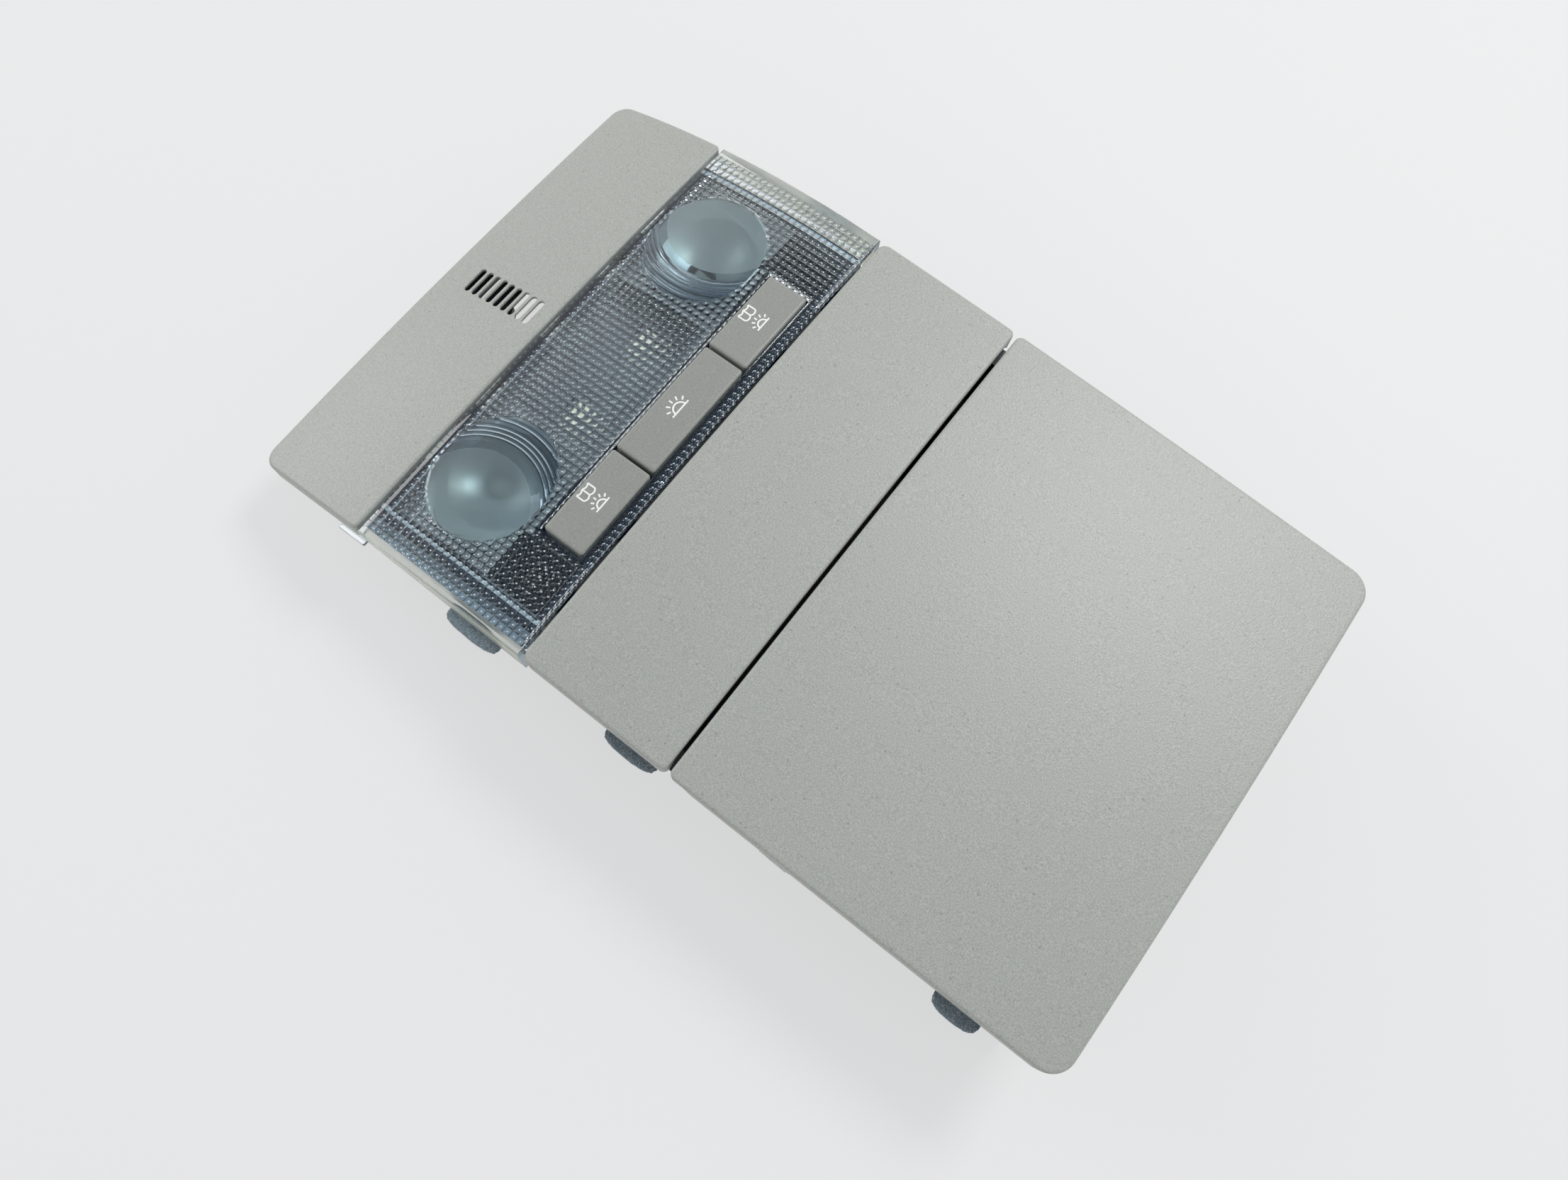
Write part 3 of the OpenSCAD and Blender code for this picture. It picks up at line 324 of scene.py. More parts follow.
def clear_plastic(name, tint, rough, lamp_tint, marks, marks_depth, clear=1.0):
    """Glass of IOR 1.58 with noise as bump; marks is how many of its waves go into a metre."""
    m, t, shader = material(name)
    for socket, value in (("Base Color", rgb(tint)), ("Roughness", rough), ("IOR", 1.58),
                          ("Transmission Weight", clear)):
        shader.inputs[socket].default_value = value
    co = add(t, "ShaderNodeTexCoord").outputs["Object"]
    noise = add(t, "ShaderNodeTexNoise", (), {"Scale": marks, "Detail": 2.0}, {"Vector": co})
    bump = add(t, "ShaderNodeBump", (), {"Strength": marks_depth, "Distance": 0.02 * MM},
               {"Height": noise.outputs["Fac"]})
    t.links.new(bump.outputs[0], shader.inputs["Normal"])
    let_lamps_through(t, shader, lamp_tint)
    return m


# Moulded in a polished tool: clear and glossy, with faint flow marks of about 6 mm
clear_pc = clear_plastic("polycarbonate_clear_moulded", "#EEF5F9", 0.02, "#E4ECF0", 160.0, 0.1)
# A cut or gated edge looks deep grey-blue, because light travels far through it
edge_pc = clear_plastic("polycarbonate_clear_edge", "#52616E", 0.12, "#8C9AA5", 500.0, 0.15)
# Spark-eroded faces spread the light, so they look frosted and slightly warm
etched_pc = clear_plastic("polycarbonate_clear_spark_eroded", "#E6E5D6", 0.42, "#E4ECF0", 900.0,
                          0.15, 0.95)
print("clear, edge and etched polycarbonate made")

# %% [markdown]
# The inside of the lens is moulded in 2.25 mm square pillows, in rows that start at the front of
# the lens. Their bulge is in the mesh of the lens. The material also paints shade where each
# pillow's flanks meet the next one, and a painted highlight in each pillow's middle: a small,
# pale, less clear dot that stands in for the lamp's glint. These two are painted light: the
# position is split into cells, and the distance from the cell's middle gives the groove shade
# and the highlights.

# %% Pillowed polycarbonate, with painted groove shade and painted highlights
pillow, cells_x, cells_y = 2.25 * MM, 69, 25
pillow_y1 = y_mid + 57.7 * MM
pillow_pc, pillow_tree, pillow_shader = material("polycarbonate_clear_pillowed")
for socket, value in (("Roughness", 0.07), ("IOR", 1.62), ("Transmission Weight", 1.0)):
    pillow_shader.inputs[socket].default_value = value
pillow_co = add(pillow_tree, "ShaderNodeTexCoord").outputs["Object"]
pillow_map = add(pillow_tree, "ShaderNodeMapping", (),
                 {"Location": (cells_x / 2, -pillow_y1 / pillow, 0.0),
                  "Scale": (1 / pillow,) * 3},
                 {"Vector": pillow_co})
pillow_cell = add(pillow_tree, "ShaderNodeVectorMath", {"operation": "FRACTION"}, (),
                  {0: pillow_map.outputs[0]})
pillow_mid = add(pillow_tree, "ShaderNodeVectorMath", {"operation": "SUBTRACT"},
                 {1: (0.5, 0.5, 0.5)}, {0: pillow_cell.outputs[0]})
pillow_far = add(pillow_tree, "ShaderNodeVectorMath", {"operation": "ABSOLUTE"}, (),
                 {0: pillow_mid.outputs[0]})
pillow_xyz = add(pillow_tree, "ShaderNodeSeparateXYZ", (), (), {0: pillow_far.outputs[0]})
pillow_edge = add(pillow_tree, "ShaderNodeMath", {"operation": "MAXIMUM"}, (),
                  {0: pillow_xyz.outputs[0], 1: pillow_xyz.outputs[1]})
# Painted shade: the colour turns dark blue-grey towards each cell's rim, where the pillows' flanks
# meet.
pillow_groove_shade = add(pillow_tree, "ShaderNodeMapRange", {"interpolation_type": "SMOOTHSTEP"},
                  {"From Min": 0.32, "From Max": 0.48}, {"Value": pillow_edge.outputs[0]})
pillow_shaded_colour = add(pillow_tree, "ShaderNodeMix", {"data_type": "RGBA"},
                  {6: rgb("#F6F9FA"), 7: rgb("#5C6A74")}, {0: pillow_groove_shade.outputs[0]})
pillow_flat = add(pillow_tree, "ShaderNodeVectorMath", {"operation": "MULTIPLY"},
                  {1: (1.0, 1.0, 0.0)}, {0: pillow_far.outputs[0]})
pillow_span = add(pillow_tree, "ShaderNodeVectorMath", {"operation": "LENGTH"}, (),
                  {0: pillow_flat.outputs[0]})
# Painted highlight: a pale, less clear dot in the middle of each cell stands in for the lamp's
# glint on each pillow.
pillow_painted_glint = add(pillow_tree, "ShaderNodeMapRange", {"interpolation_type": "SMOOTHSTEP"},
                 {"From Min": 0.07, "From Max": 0.13, "To Min": 0.8, "To Max": 0.0},
                 {"Value": pillow_span.outputs["Value"]})
pillow_clear_but_glint = add(pillow_tree, "ShaderNodeMath", {"operation": "SUBTRACT"}, {0: 1.0},
                   {1: pillow_painted_glint.outputs[0]})
pillow_glint_colour = add(pillow_tree, "ShaderNodeMix", {"data_type": "RGBA"}, {7: rgb("#FBFDFD")},
                  {0: pillow_painted_glint.outputs[0], 6: pillow_shaded_colour.outputs[2]})
# The base colour carries the painted groove shade and the painted highlight; the transmission drops
# under the highlight.
pillow_tree.links.new(pillow_glint_colour.outputs[2], pillow_shader.inputs["Base Color"])
pillow_tree.links.new(pillow_clear_but_glint.outputs[0], pillow_shader.inputs["Transmission Weight"])
let_lamps_through(pillow_tree, pillow_shader, "#D5DFE5")
print("pillows of", round(pillow / MM, 2), "mm drawn")

# %% [markdown]
# ## Dress the CAD nodes
# Every CAD node keeps its own mesh and gets its finish from this table.

# %% Materials of the CAD nodes
finish = {
    "carrier_frame": dark_pp, "lamp_housing": housing_pc, "reflector": metallised,
    "lamp_board": board_green, "connector_socket": dark_pp, "microphone_bracket": dark_pp,
    "microphone": dark_pp, "glasses_tray": dark_pp, "tray_liner": flock, "gear_sector": acetal,
    "damper_pinion": acetal, "damper_body": dark_pp, "latch_housing": dark_pp,
    "latch_plunger": acetal, "latch_striker": dark_pp, "front_trim": trim_abs, "lens": clear_pc,
    "middle_trim": trim_abs, "box_lid": trim_abs, "foam_pad": foam_white,
    "reading_led_left": led_unlit, "reading_led_right": led_unlit,
}
for name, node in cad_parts.items():
    if name not in finish:
        for part, mat in (("screws", zinc_steel), ("pin_", zinc_steel), ("led", led_cream),
                          ("switch", dark_pp), ("button", button_abs), ("felt", felt_blue)):
            if part in name:
                finish[name] = mat
                break
    node.data.materials.clear()
    node.data.materials.append(finish[name])
print("dressed", len(finish), "CAD nodes")

# %% [markdown]
# ## Trim shells with rolled edges
# A moulded shell never has a knife edge: the draft and the tool leave about 0.8 mm of radius. Each
# shell is one lattice over a rounded rectangle, carried down over the rolled edge, the side wall
# and the lip, and back up to the inner face.

# %% Rolled shells
def plan_lattice(hw, y0, y1, r_rear, r_front, inset, nx=60, ny=40, nc=6):
    """A lattice over a rectangle with round corners. In each corner square the point (a, b)
    goes to (a sqrt(1 - b2/2), b sqrt(1 - a2/2)), which turns the square into a quarter disc."""
    hw, y0, y1 = hw - inset, y0 + inset, y1 - inset
    r0, r1 = max(r_rear - inset, 0.05 * MM), max(r_front - inset, 0.05 * MM)
    c = np.linspace(0, 1, nc + 1)

    def axis(lo, hi, ra, rb, n):
        mid = np.linspace(lo + ra, hi - rb, n)
        return np.concatenate([lo + ra - ra * c[:0:-1], mid, hi - rb + rb * c[1:]])

    ys = axis(y0, y1, r0, r1, ny)
    blend = np.clip((ys - y0) / (y1 - y0), 0, 1)
    rows = [axis(-hw, hw, r, r, nx) for r in (r0, r1)]
    smooth = np.clip((blend - 0.25) / 0.5, 0, 1)
    X = rows[0][None, :] * (1 - smooth)[:, None] + rows[1][None, :] * smooth[:, None]
    Y = np.repeat(ys[:, None], X.shape[1], 1)
    for sx in (-1, 1):
        for yc, r, sy in ((y0 + r0, r0, -1), (y1 - r1, r1, 1)):
            xc = sx * (hw - r)
            a, b = (X - xc) * sx / r, (Y - yc) * sy / r
            inside = (a > 0) & (b > 0)
            a, b = np.clip(a, 0, 1), np.clip(b, 0, 1)
            X = np.where(inside, xc + sx * r * a * np.sqrt(1 - b**2 / 2), X)
            Y = np.where(inside, yc + sy * r * b * np.sqrt(1 - a**2 / 2), Y)
    return X, Y


def border(A):
    """The outer points of a lattice, once round."""
    return np.concatenate([A[0, :], A[1:, -1], A[-1, -2::-1], A[-2:0:-1, 0]])


def border_index(rows, cols):
    """The places of those border points in the flattened lattice."""
    return border(np.arange(rows * cols).reshape(rows, cols))


def rolled_shell(name, plan, lift, wall, edge, low, mat, body, sharp=35):
    """Top lattice at inset = edge, rings at inset r(1 - sin a) and drop r(1 - cos a) over the
    rolled edge, then the wall down to low(x, y), the lip and the inner face."""
    Xt, Yt = plan_lattice(*plan, edge)
    shape = Xt.shape
    verts = [np.stack([Xt, Yt, skin(Xt, Yt) + lift], -1).reshape(-1, 3)]
    faces = [quads(*shape)]
    loop = border_index(*shape)
    base = shape[0] * shape[1]
    n = len(loop)

    def ring(inset, z_of):
        X, Y = plan_lattice(*plan, inset)
        x, y = border(X), border(Y)
        verts.append(np.stack([x, y, z_of(x, y)], -1))

    for a in np.radians([18, 36, 54, 72, 90]):
        drop = edge * (1 - np.cos(a))
        ring(edge * (1 - np.sin(a)), lambda x, y, drop=drop: skin(x, y) + lift - drop)
    ring(0.0, low)
    ring(wall, low)
    ring(wall, lambda x, y: np.maximum(skin(x, y) + lift - wall, low(x, y) + 0.05 * MM))
    rings = 8
    first = np.stack([loop, np.roll(loop, -1), base + np.roll(np.arange(n), -1),
                      base + np.arange(n)], -1)
    faces.append(first[:, ::-1])
    faces.append(quads(rings, n, base, True, True))
    X, Y = plan_lattice(*plan, wall)
    start = base + rings * n
    verts.append(np.stack([X, Y, skin(X, Y) + lift - wall], -1).reshape(-1, 3))
    inner = start + loop
    last = base + (rings - 1) * n + np.arange(n)
    faces.append(np.stack([last, np.roll(last, -1), np.roll(inner, -1), inner], -1)[:, ::-1])
    faces.append(quads(*shape, start, False, True))
    return piece(name, np.concatenate(verts), np.concatenate(faces), mat, body, sharp,
                 merge=0.002 * MM)


skirt_low = float(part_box("box_lid")[0][2])
wall, lip, edge_r = 2.4 * MM, 0.6 * MM, 0.9 * MM
hinge_cut_l, hinge_cut_h = 6 * MM, 3.6 * MM
# The shells reach this far into the lid's gap, because the seam looks narrower than the gap is
gap_reach = 0.25 * MM


def lid_low(x, y):
    """The side walls go down to the lid's lower edge, except at the open end by the hinge."""
    open_end = y > y_lid - lid_gap / 2 - hinge_cut_l
    deep = np.where(np.abs(x) > half_w - wall - 0.1 * MM, skirt_low + hinge_cut_h,
                    skin(x, y) - wall - lip)
    return np.where(open_end, deep, skirt_low)


lid_plan = (half_w, y_rear, y_lid - lid_gap / 2 + gap_reach, 7 * MM, 2 * MM)
lid = rolled_shell("lid_shell", lid_plan, 0.0, wall, edge_r, lid_low, trim_abs, "lid")
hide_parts("box_lid")


def middle_low(x, y):
    """The middle trim is open towards the lid, so its rear edge ends at the wall's thickness."""
    open_end = y < y_lid + lid_gap / 2 + wall + 0.5 * MM
    deep = np.where(np.abs(x) > half_w - wall - 0.1 * MM, skirt_low, skin(x, y) - wall - 0.05 * MM)
    return np.where(open_end, deep, skirt_low)


middle_plan = (half_w, y_lid + lid_gap / 2 - gap_reach, y_mid - seam_gap / 2, 2 * MM, 3 * MM)
middle = rolled_shell("middle_shell", middle_plan, 0.0, wall, edge_r, middle_low, trim_abs,
                      "console")
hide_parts("middle_trim")
print("lid and middle shells:", len(lid.data.polygons), len(middle.data.polygons), "faces")

# %% [markdown]
# ## The front trim and its sound slots
# Nine slots with round ends let sound through to the microphone. They are cut with one cutter
# each, standing upright as the tool's cores do, and their rims get a small bevel. Behind them a
# pocket thins the wall to 1 mm, because a thick wall hides what lies behind the slots.

# %% Front trim
front_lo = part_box("front_trim")[0][2]
rear_skirt = float(face_z(y_lens + seam_gap / 2)) - crown_h - skirt_h


def front_low(x, y):
    """The lower edge runs straight from the rear wall down to the front corner."""
    t = (y - y_lens) / (y_front - y_lens)
    return rear_skirt + (front_lo - rear_skirt) * t


front_plan = (half_w, y_lens + seam_gap / 2, y_front, 2 * MM, 5 * MM)
front = rolled_shell("front_shell", front_plan, 0.0, wall, edge_r, front_low, trim_abs,
                     "console")
slot_count, slot_pitch, slot_w, slot_l = 9, 3 * MM, 2 * MM, 9 * MM
slot_start = y_lens + seam_gap / 2 + 6.1 * MM
slot_bevel, end_points = 0.15 * MM, 12
pocket_end, pocket_side, pocket_wall, pocket_deep = 2.2 * MM, 1.5 * MM, 1 * MM, 7 * MM


def slot_cutter(y, grow, low, high, n=end_points):
    """A stadium of n points an end, drawn from low to high above the skin and tilted with it."""
    a = np.linspace(-np.pi / 2, np.pi / 2, n)
    half = (slot_l - slot_w) / 2
    r = slot_w / 2 + grow
    x = np.concatenate([half + r * np.cos(a), -half - r * np.cos(a)])
    dy = np.concatenate([r * np.sin(a), r * np.sin(a)[::-1]])
    z0 = skin(0, y)
    slope = (skin(0, y + MM) - skin(0, y - MM)) / (2 * MM)
    return [np.stack([x, y + dy, z0 + slope * dy + h], -1) for h in (low, high)]


def carve(target, verts, faces):
    """Takes a closed cutter mesh away from the target with an exact Boolean."""
    mesh = bpy.data.meshes.new("cutter")
    mesh.from_pydata(np.concatenate(verts).tolist(), [], faces)
    bm = bmesh.new()
    bm.from_mesh(mesh)
    bmesh.ops.recalc_face_normals(bm, faces=bm.faces)
    bm.to_mesh(mesh)
    bm.free()
    cutter = bpy.data.objects.new("cutter", mesh)
    bpy.context.scene.collection.objects.link(cutter)
    cut = target.modifiers.new("cut", "BOOLEAN")
    cut.object, cut.operation, cut.solver = cutter, "DIFFERENCE", "EXACT"
    bpy.context.view_layer.update()
    result = bpy.data.meshes.new_from_object(
        target.evaluated_get(bpy.context.evaluated_depsgraph_get()))
    target.modifiers.clear()
    target.data = result
    result.polygons.foreach_set("use_smooth", np.ones(len(result.polygons), bool))
    result.set_sharp_from_angle(angle=np.radians(35))
    bpy.data.objects.remove(cutter)


slot_end = slot_start + (slot_count - 1) * slot_pitch
pocket_y = np.linspace(slot_start - pocket_end, slot_end + pocket_end, 6)
pocket_x = slot_l / 2 + pocket_side
pocket = [np.stack([sx * pocket_x + 0 * pocket_y, pocket_y, skin(0, pocket_y) - h], -1)
          for sx, h in ((-1, pocket_wall), (1, pocket_wall), (1, pocket_deep), (-1, pocket_deep))]
# Four rows of 6 points: their lattice, the side that joins the last row to the first, and two ends
pocket_faces = quads(4, 6).tolist() + [[k, k + 1, k + 19, k + 18] for k in range(5)]
pocket_faces += [[0, 6, 12, 18], [5, 11, 17, 23]]
carve(front, pocket, pocket_faces)
cut_verts, cut_faces = [], []
for i in range(slot_count):
    y = slot_start + i * slot_pitch
    loops = slot_cutter(y, 0.0, -6 * MM, -slot_bevel) + slot_cutter(y, slot_bevel, 0.0, 2 * MM)
    at = len(cut_verts) * 2 * end_points
    cut_verts += loops
    cut_faces += quads(4, 2 * end_points, at, True).tolist()
    cut_faces += [list(range(at, at + 2 * end_points)),
                  list(range(at + 6 * end_points, at + 8 * end_points))]
carve(front, cut_verts, cut_faces)
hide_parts("front_trim")
print("front shell with", slot_count, "slots:", len(front.data.polygons), "faces")

# %% [markdown]
# ## The pillow lens
# The lens is smooth outside and covered in 2.25 mm square pillows inside. It is a sheet on one
# lattice: the top follows the skin, and the underside lies a thickness below it that depends on
# the place. Cells over the button window are left out, and every free edge gets a wall.

# %% Lens sheet
sub, pillow_h = 4, 0.6 * MM
lens_t = 2.6 * MM
lens_y0, lens_y1 = y_mid + seam_gap / 2, y_lens - seam_gap / 2
pillow_x0 = -cells_x * pillow / 2
pillow_y0 = pillow_y1 - cells_y * pillow
optic_x, optic_y = 46.4 * MM, y_mid + 39.7 * MM
optic_r, optic_shift = 17.0 * MM, 2.2 * MM
window_gap = 0.7 * MM
window_x = abs(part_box("button_left")[0][0]) + window_gap
window_y = (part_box("button_left")[0][1] - window_gap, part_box("button_left")[1][1] + window_gap)
lens_low = float(face_z(y_lens)) - crown_h - skirt_h
side_wall = half_w - lens_t


def to_outline(x, y, grow=0.0):
    """Signed distance to a reading optic's stadium outline, negative inside."""
    dx = np.maximum(np.abs(np.abs(x) - optic_x) - optic_shift, 0)
    return np.hypot(dx, y - optic_y) - optic_r - grow


def lens_thickness(x, y):
    """Plain thickness plus a pillow: h (1 - (u2 + v2)/2) with u, v from -1 to 1 in a cell."""
    u = 2 * np.mod((x - pillow_x0) / pillow, 1) - 1
    v = 2 * np.mod((y - pillow_y0) / pillow, 1) - 1
    near = (np.abs(x) < -pillow_x0 - 1e-6) & (y > pillow_y0 + 1e-6) & (y < pillow_y1 - 1e-6)
    clear = np.clip(to_outline(x, y) / (0.3 * MM), 0, 1)
    margin = (np.abs(x) > window_x + 0.8 * MM) | (y < window_y[0] - 0.8 * MM)
    margin |= y > window_y[1] + 1.0 * MM
    bulge = pillow_h * (1 - (u**2 + v**2) / 2) * near * clear * margin
    sheet = lens_t - pillow_h + bulge
    return np.where(np.abs(x) > side_wall + 1e-6, skin(x, y) - lens_low, sheet)


def lattice_axis(lo, hi, start, count, extra):
    """Sorted places: pillow subdivisions, a rolled edge at each end, and the named extras."""
    inner = start + np.arange(count * sub + 1) * pillow / sub
    roll = edge_r * (1 - np.sin(np.radians([90, 70, 50, 25])))
    places = np.concatenate([[lo, hi], lo + roll, hi - roll, inner, extra])
    places = np.unique(np.round(places / (0.01 * MM)) * 0.01 * MM)
    return places[(places >= lo - 1e-9) & (places <= hi + 1e-9)]


xs = lattice_axis(-half_w, half_w, pillow_x0, cells_x,
                  np.array([-window_x, window_x, side_wall, -side_wall,
                            side_wall + 0.02 * MM, -side_wall - 0.02 * MM]))
ys = lattice_axis(lens_y0, lens_y1, pillow_y0, cells_y, np.array(window_y))
LX, LY = np.meshgrid(xs, ys)


def roll_drop(d, r=edge_r):
    """Drop of a rolled edge at distance d from it: r - sqrt(r2 - (r - d)2)."""
    d = np.clip(d, 0, r)
    return r - np.sqrt(np.maximum(r**2 - (r - d) ** 2, 0))


edge_x = np.minimum(half_w - np.abs(LX), 1)
edge_y = np.minimum(LY - lens_y0, lens_y1 - LY)
LZ = skin(LX, LY) - np.maximum(roll_drop(edge_x), roll_drop(edge_y))
under = skin(LX, LY) - lens_thickness(LX, LY)
rows, cols = LX.shape
top_points = np.stack([LX, LY, LZ], -1).reshape(-1, 3)
low_points = np.stack([LX, LY, under], -1).reshape(-1, 3)
cx, cy = (xs[1:] + xs[:-1]) / 2, (ys[1:] + ys[:-1]) / 2
CX, CY = np.meshgrid(cx, cy)
keep = ~((np.abs(CX) < window_x) & (CY > window_y[0]) & (CY < window_y[1]))


def sheet_faces(keep, rows, cols):
    """Faces of the kept cells above and below, and a wall at each edge between kept and not."""
    q = quads(rows, cols)
    k = keep.reshape(-1)
    n = rows * cols
    parts = [q[k], q[k][:, ::-1] + n]
    padded = np.pad(keep, 1)
    index = np.arange(n).reshape(rows, cols)
    for cell, a, b in (
        (padded[1:-1, :-2], index[:-1, :-1], index[1:, :-1]),
        (padded[1:-1, 2:], index[1:, 1:], index[:-1, 1:]),
        (padded[:-2, 1:-1], index[:-1, 1:], index[:-1, :-1]),
        (padded[2:, 1:-1], index[1:, :-1], index[1:, 1:]),
    ):
        edge = keep & ~cell
        p, r = a[edge], b[edge]
        parts.append(np.stack([p, r, r + n, p + n], -1))
    return np.concatenate(parts)


lens = piece("pillow_lens", np.concatenate([top_points, low_points]),
             sheet_faces(keep, rows, cols), clear_pc, "console", 28)
loose = bmesh.new()
loose.from_mesh(lens.data)
bmesh.ops.delete(loose, geom=[v for v in loose.verts if not v.link_faces], context="VERTS")
loose.to_mesh(lens.data)
loose.free()
for face_mat in (pillow_pc, edge_pc, etched_pc):
    lens.data.materials.append(face_mat)
normal, centre = np.empty(len(lens.data.polygons) * 3), np.empty(len(lens.data.polygons) * 3)
lens.data.polygons.foreach_get("normal", normal)
lens.data.polygons.foreach_get("center", centre)
pillowed = (normal[2::3] < -0.3) & (to_outline(centre[0::3], centre[1::3]) > 0.2 * MM)
pillowed &= np.abs(centre[0::3]) < -pillow_x0
above_buttons = (np.abs(centre[0::3]) < window_x + MM) & (np.abs(centre[1::3] - window_y[1]) < MM)
seam_side = (np.abs(normal[1::3]) > 0.7) & ~above_buttons
end_wall = (np.abs(centre[0::3]) > side_wall - 0.1 * MM) & (normal[2::3] < 0.5) & ~seam_side
lens.data.polygons.foreach_set(
    "material_index", np.select([seam_side, end_wall], [2, 3], pillowed).astype(np.int32))
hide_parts("lens")
print("pillow lens:", len(lens.data.polygons), "faces")

# %% [markdown]
# ## Tab and rib at the lens's left end
# A clear tongue on the left end tucks under the front trim. Below that end of the lens a grey
# bar shows, which is made here as a rib of the housing. Both are plain moulded bars, made from
# a rounded rectangle that is swept upwards.

# %% Tab and rib
def bar(name, x0, x1, y0, y1, z_low, z_high, mat, r=0.3 * MM, corner=0.6 * MM, n=24):
    """Rings of a rounded rectangle at insets and heights that follow a quarter circle of radius
    r at the top and the bottom; z_low and z_high are functions of y."""
    a = np.linspace(0, 2 * np.pi, 4 * n, endpoint=False)
    a = a + np.pi / (4 * n)
    sx, sy = np.sign(np.cos(a)), np.sign(np.sin(a))
    q = np.linspace(0, np.pi / 2, 5)
    insets = np.concatenate([[r * 4], r * (1 - np.sin(q)), r * (1 - np.sin(q[::-1])), [r * 4]])
    drops = np.concatenate([[0], r * (1 - np.cos(q))])
    verts = []
    for k, inset in enumerate(insets):
        c = max(corner - inset, 0.02 * MM)
        x = (x0 + x1) / 2 + sx * ((x1 - x0) / 2 - inset - c) + c * np.cos(a)
        y = (y0 + y1) / 2 + sy * ((y1 - y0) / 2 - inset - c) + c * np.sin(a)
        z = z_high(y) - drops[k] if k < 6 else z_low(y) + drops[11 - k]
        verts.append(np.stack([x, y, z], -1))
    m = len(a)
    faces = quads(12, m, 0, True).tolist() + [list(range(m)), list(range(11 * m, 12 * m))]
    return piece(name, np.concatenate(verts), faces, mat, "console", 40)


tab_out, tab_l, tab_t, play = 1.5 * MM, 11 * MM, 1.2 * MM, 0.3 * MM
tab_y = y_lens + seam_gap / 2
tab_z = float(face_z(tab_y)) - crown_h - skirt_h - play
tab_slope = float((face_z(y_front) - face_z(tab_y)) / (y_front - tab_y))
bar("locating_tab", -half_w - tab_out, -half_w + lens_t, tab_y - tab_l / 5, tab_y + 0.8 * tab_l,
    lambda y: tab_z + (y - tab_y) * tab_slope - tab_t,
    lambda y: tab_z + (y - tab_y) * tab_slope, clear_pc)
rib_in, rib_out, rib_drop = 71.2 * MM, 76.9 * MM, 5.2 * MM
bar("housing_rib", -rib_out, -rib_in, y_mid + 1.2 * MM, y_lens - 1.0 * MM,
    lambda y: skin(half_w, y) - rib_drop - 1.2 * MM, lambda y: skin(half_w, y) - rib_drop,
    rib_pc)
print("tab and rib made")

# %% [markdown]
# ## The reading optics
# Each reading lamp shines through a smooth dome that sits off its centre, with stepped rings
# beside it that throw the light sideways. The optic is a piece of its own, a hair under the sheet.
# Its lattice runs along circles about the dome's centre, each cut where it meets the outline.

# %% Reading optics
dome_x, dome_r, dome_h = 57.5 * MM, 18.1 * MM, 2.0 * MM
ring_pitch, ring_h, ring_first = 1.37 * MM, 0.7 * MM, 20.7 * MM
# From this share of a tooth on, its face takes the dark edge material: painted shade, as the steep
# side of a real groove looks dark
tooth_dark = 0.6


def ring_limit(rho):
    """Largest angle, from the direction of the centre line, at which the circle of radius rho
    about the dome's centre is still inside the outline, by halving."""
    lo, hi = np.zeros_like(rho), np.full_like(rho, np.pi)
    whole = to_outline(dome_x + rho, optic_y + 0 * rho) < 0
    for _ in range(40):
        mid = (lo + hi) / 2
        inside = to_outline(dome_x - rho * np.cos(mid), optic_y + rho * np.sin(mid)) < 0
        lo, hi = np.where(inside, mid, lo), np.where(inside, hi, mid)
    return np.where(whole, np.pi, lo)


def optic_depth(rho):
    """A dome h (1 - (rho/r)2) + 0.8 mm, a sloping band, then sawtooth rings."""
    dome = dome_h * (1 - (rho / dome_r) ** 2) + 0.8 * MM
    band = 0.35 * MM + 0.5 * MM * (ring_first - rho) / (ring_first - dome_r)
    tooth = 0.3 * MM + ring_h * (1 - np.mod((rho - ring_first) / ring_pitch, 1))
    return np.where(rho < dome_r, dome, np.where(rho < ring_first, band, tooth))


rho_max = dome_x - (optic_x - optic_shift - optic_r)
teeth = ring_first + np.arange(0, 8) * ring_pitch
rho = np.unique(np.concatenate([np.linspace(0, dome_r - 0.05 * MM, 30), [dome_r + 0.02 * MM],
                                np.linspace(dome_r + 0.4 * MM, ring_first - 0.06 * MM, 4), teeth,
                                teeth + ring_pitch / 3, teeth + 2 * ring_pitch / 3,
                                teeth + ring_pitch - 0.06 * MM]))
rho = np.append(rho[rho < rho_max - 0.1 * MM], rho_max - 0.02 * MM)
limit = ring_limit(rho)
t = np.linspace(-1, 1, 97)
RHO, T = np.meshgrid(rho, t, indexing="ij")
theta = limit[:, None] * T
OX = dome_x - RHO * np.cos(theta)
OY = optic_y + RHO * np.sin(theta)
gap = 0.03 * MM
roof = skin(OX, OY) - (lens_t - pillow_h) - gap
floor_z = roof - np.maximum(optic_depth(RHO), 0.2 * MM)
n_rows, n_cols = OX.shape
upper = np.stack([OX, OY, roof], -1).reshape(-1, 3)
lower = np.stack([OX, OY, floor_z], -1).reshape(-1, 3)
n = n_rows * n_cols
loop = border_index(n_rows, n_cols)
whole = np.repeat(limit > np.pi - 1e-6, n_cols)
after = np.roll(loop, -1)
side = np.stack([loop, after, after + n, loop + n], -1)[~(whole[loop] & whole[after])]
optic_faces = np.concatenate([quads(n_rows, n_cols), quads(n_rows, n_cols)[:, ::-1] + n, side])
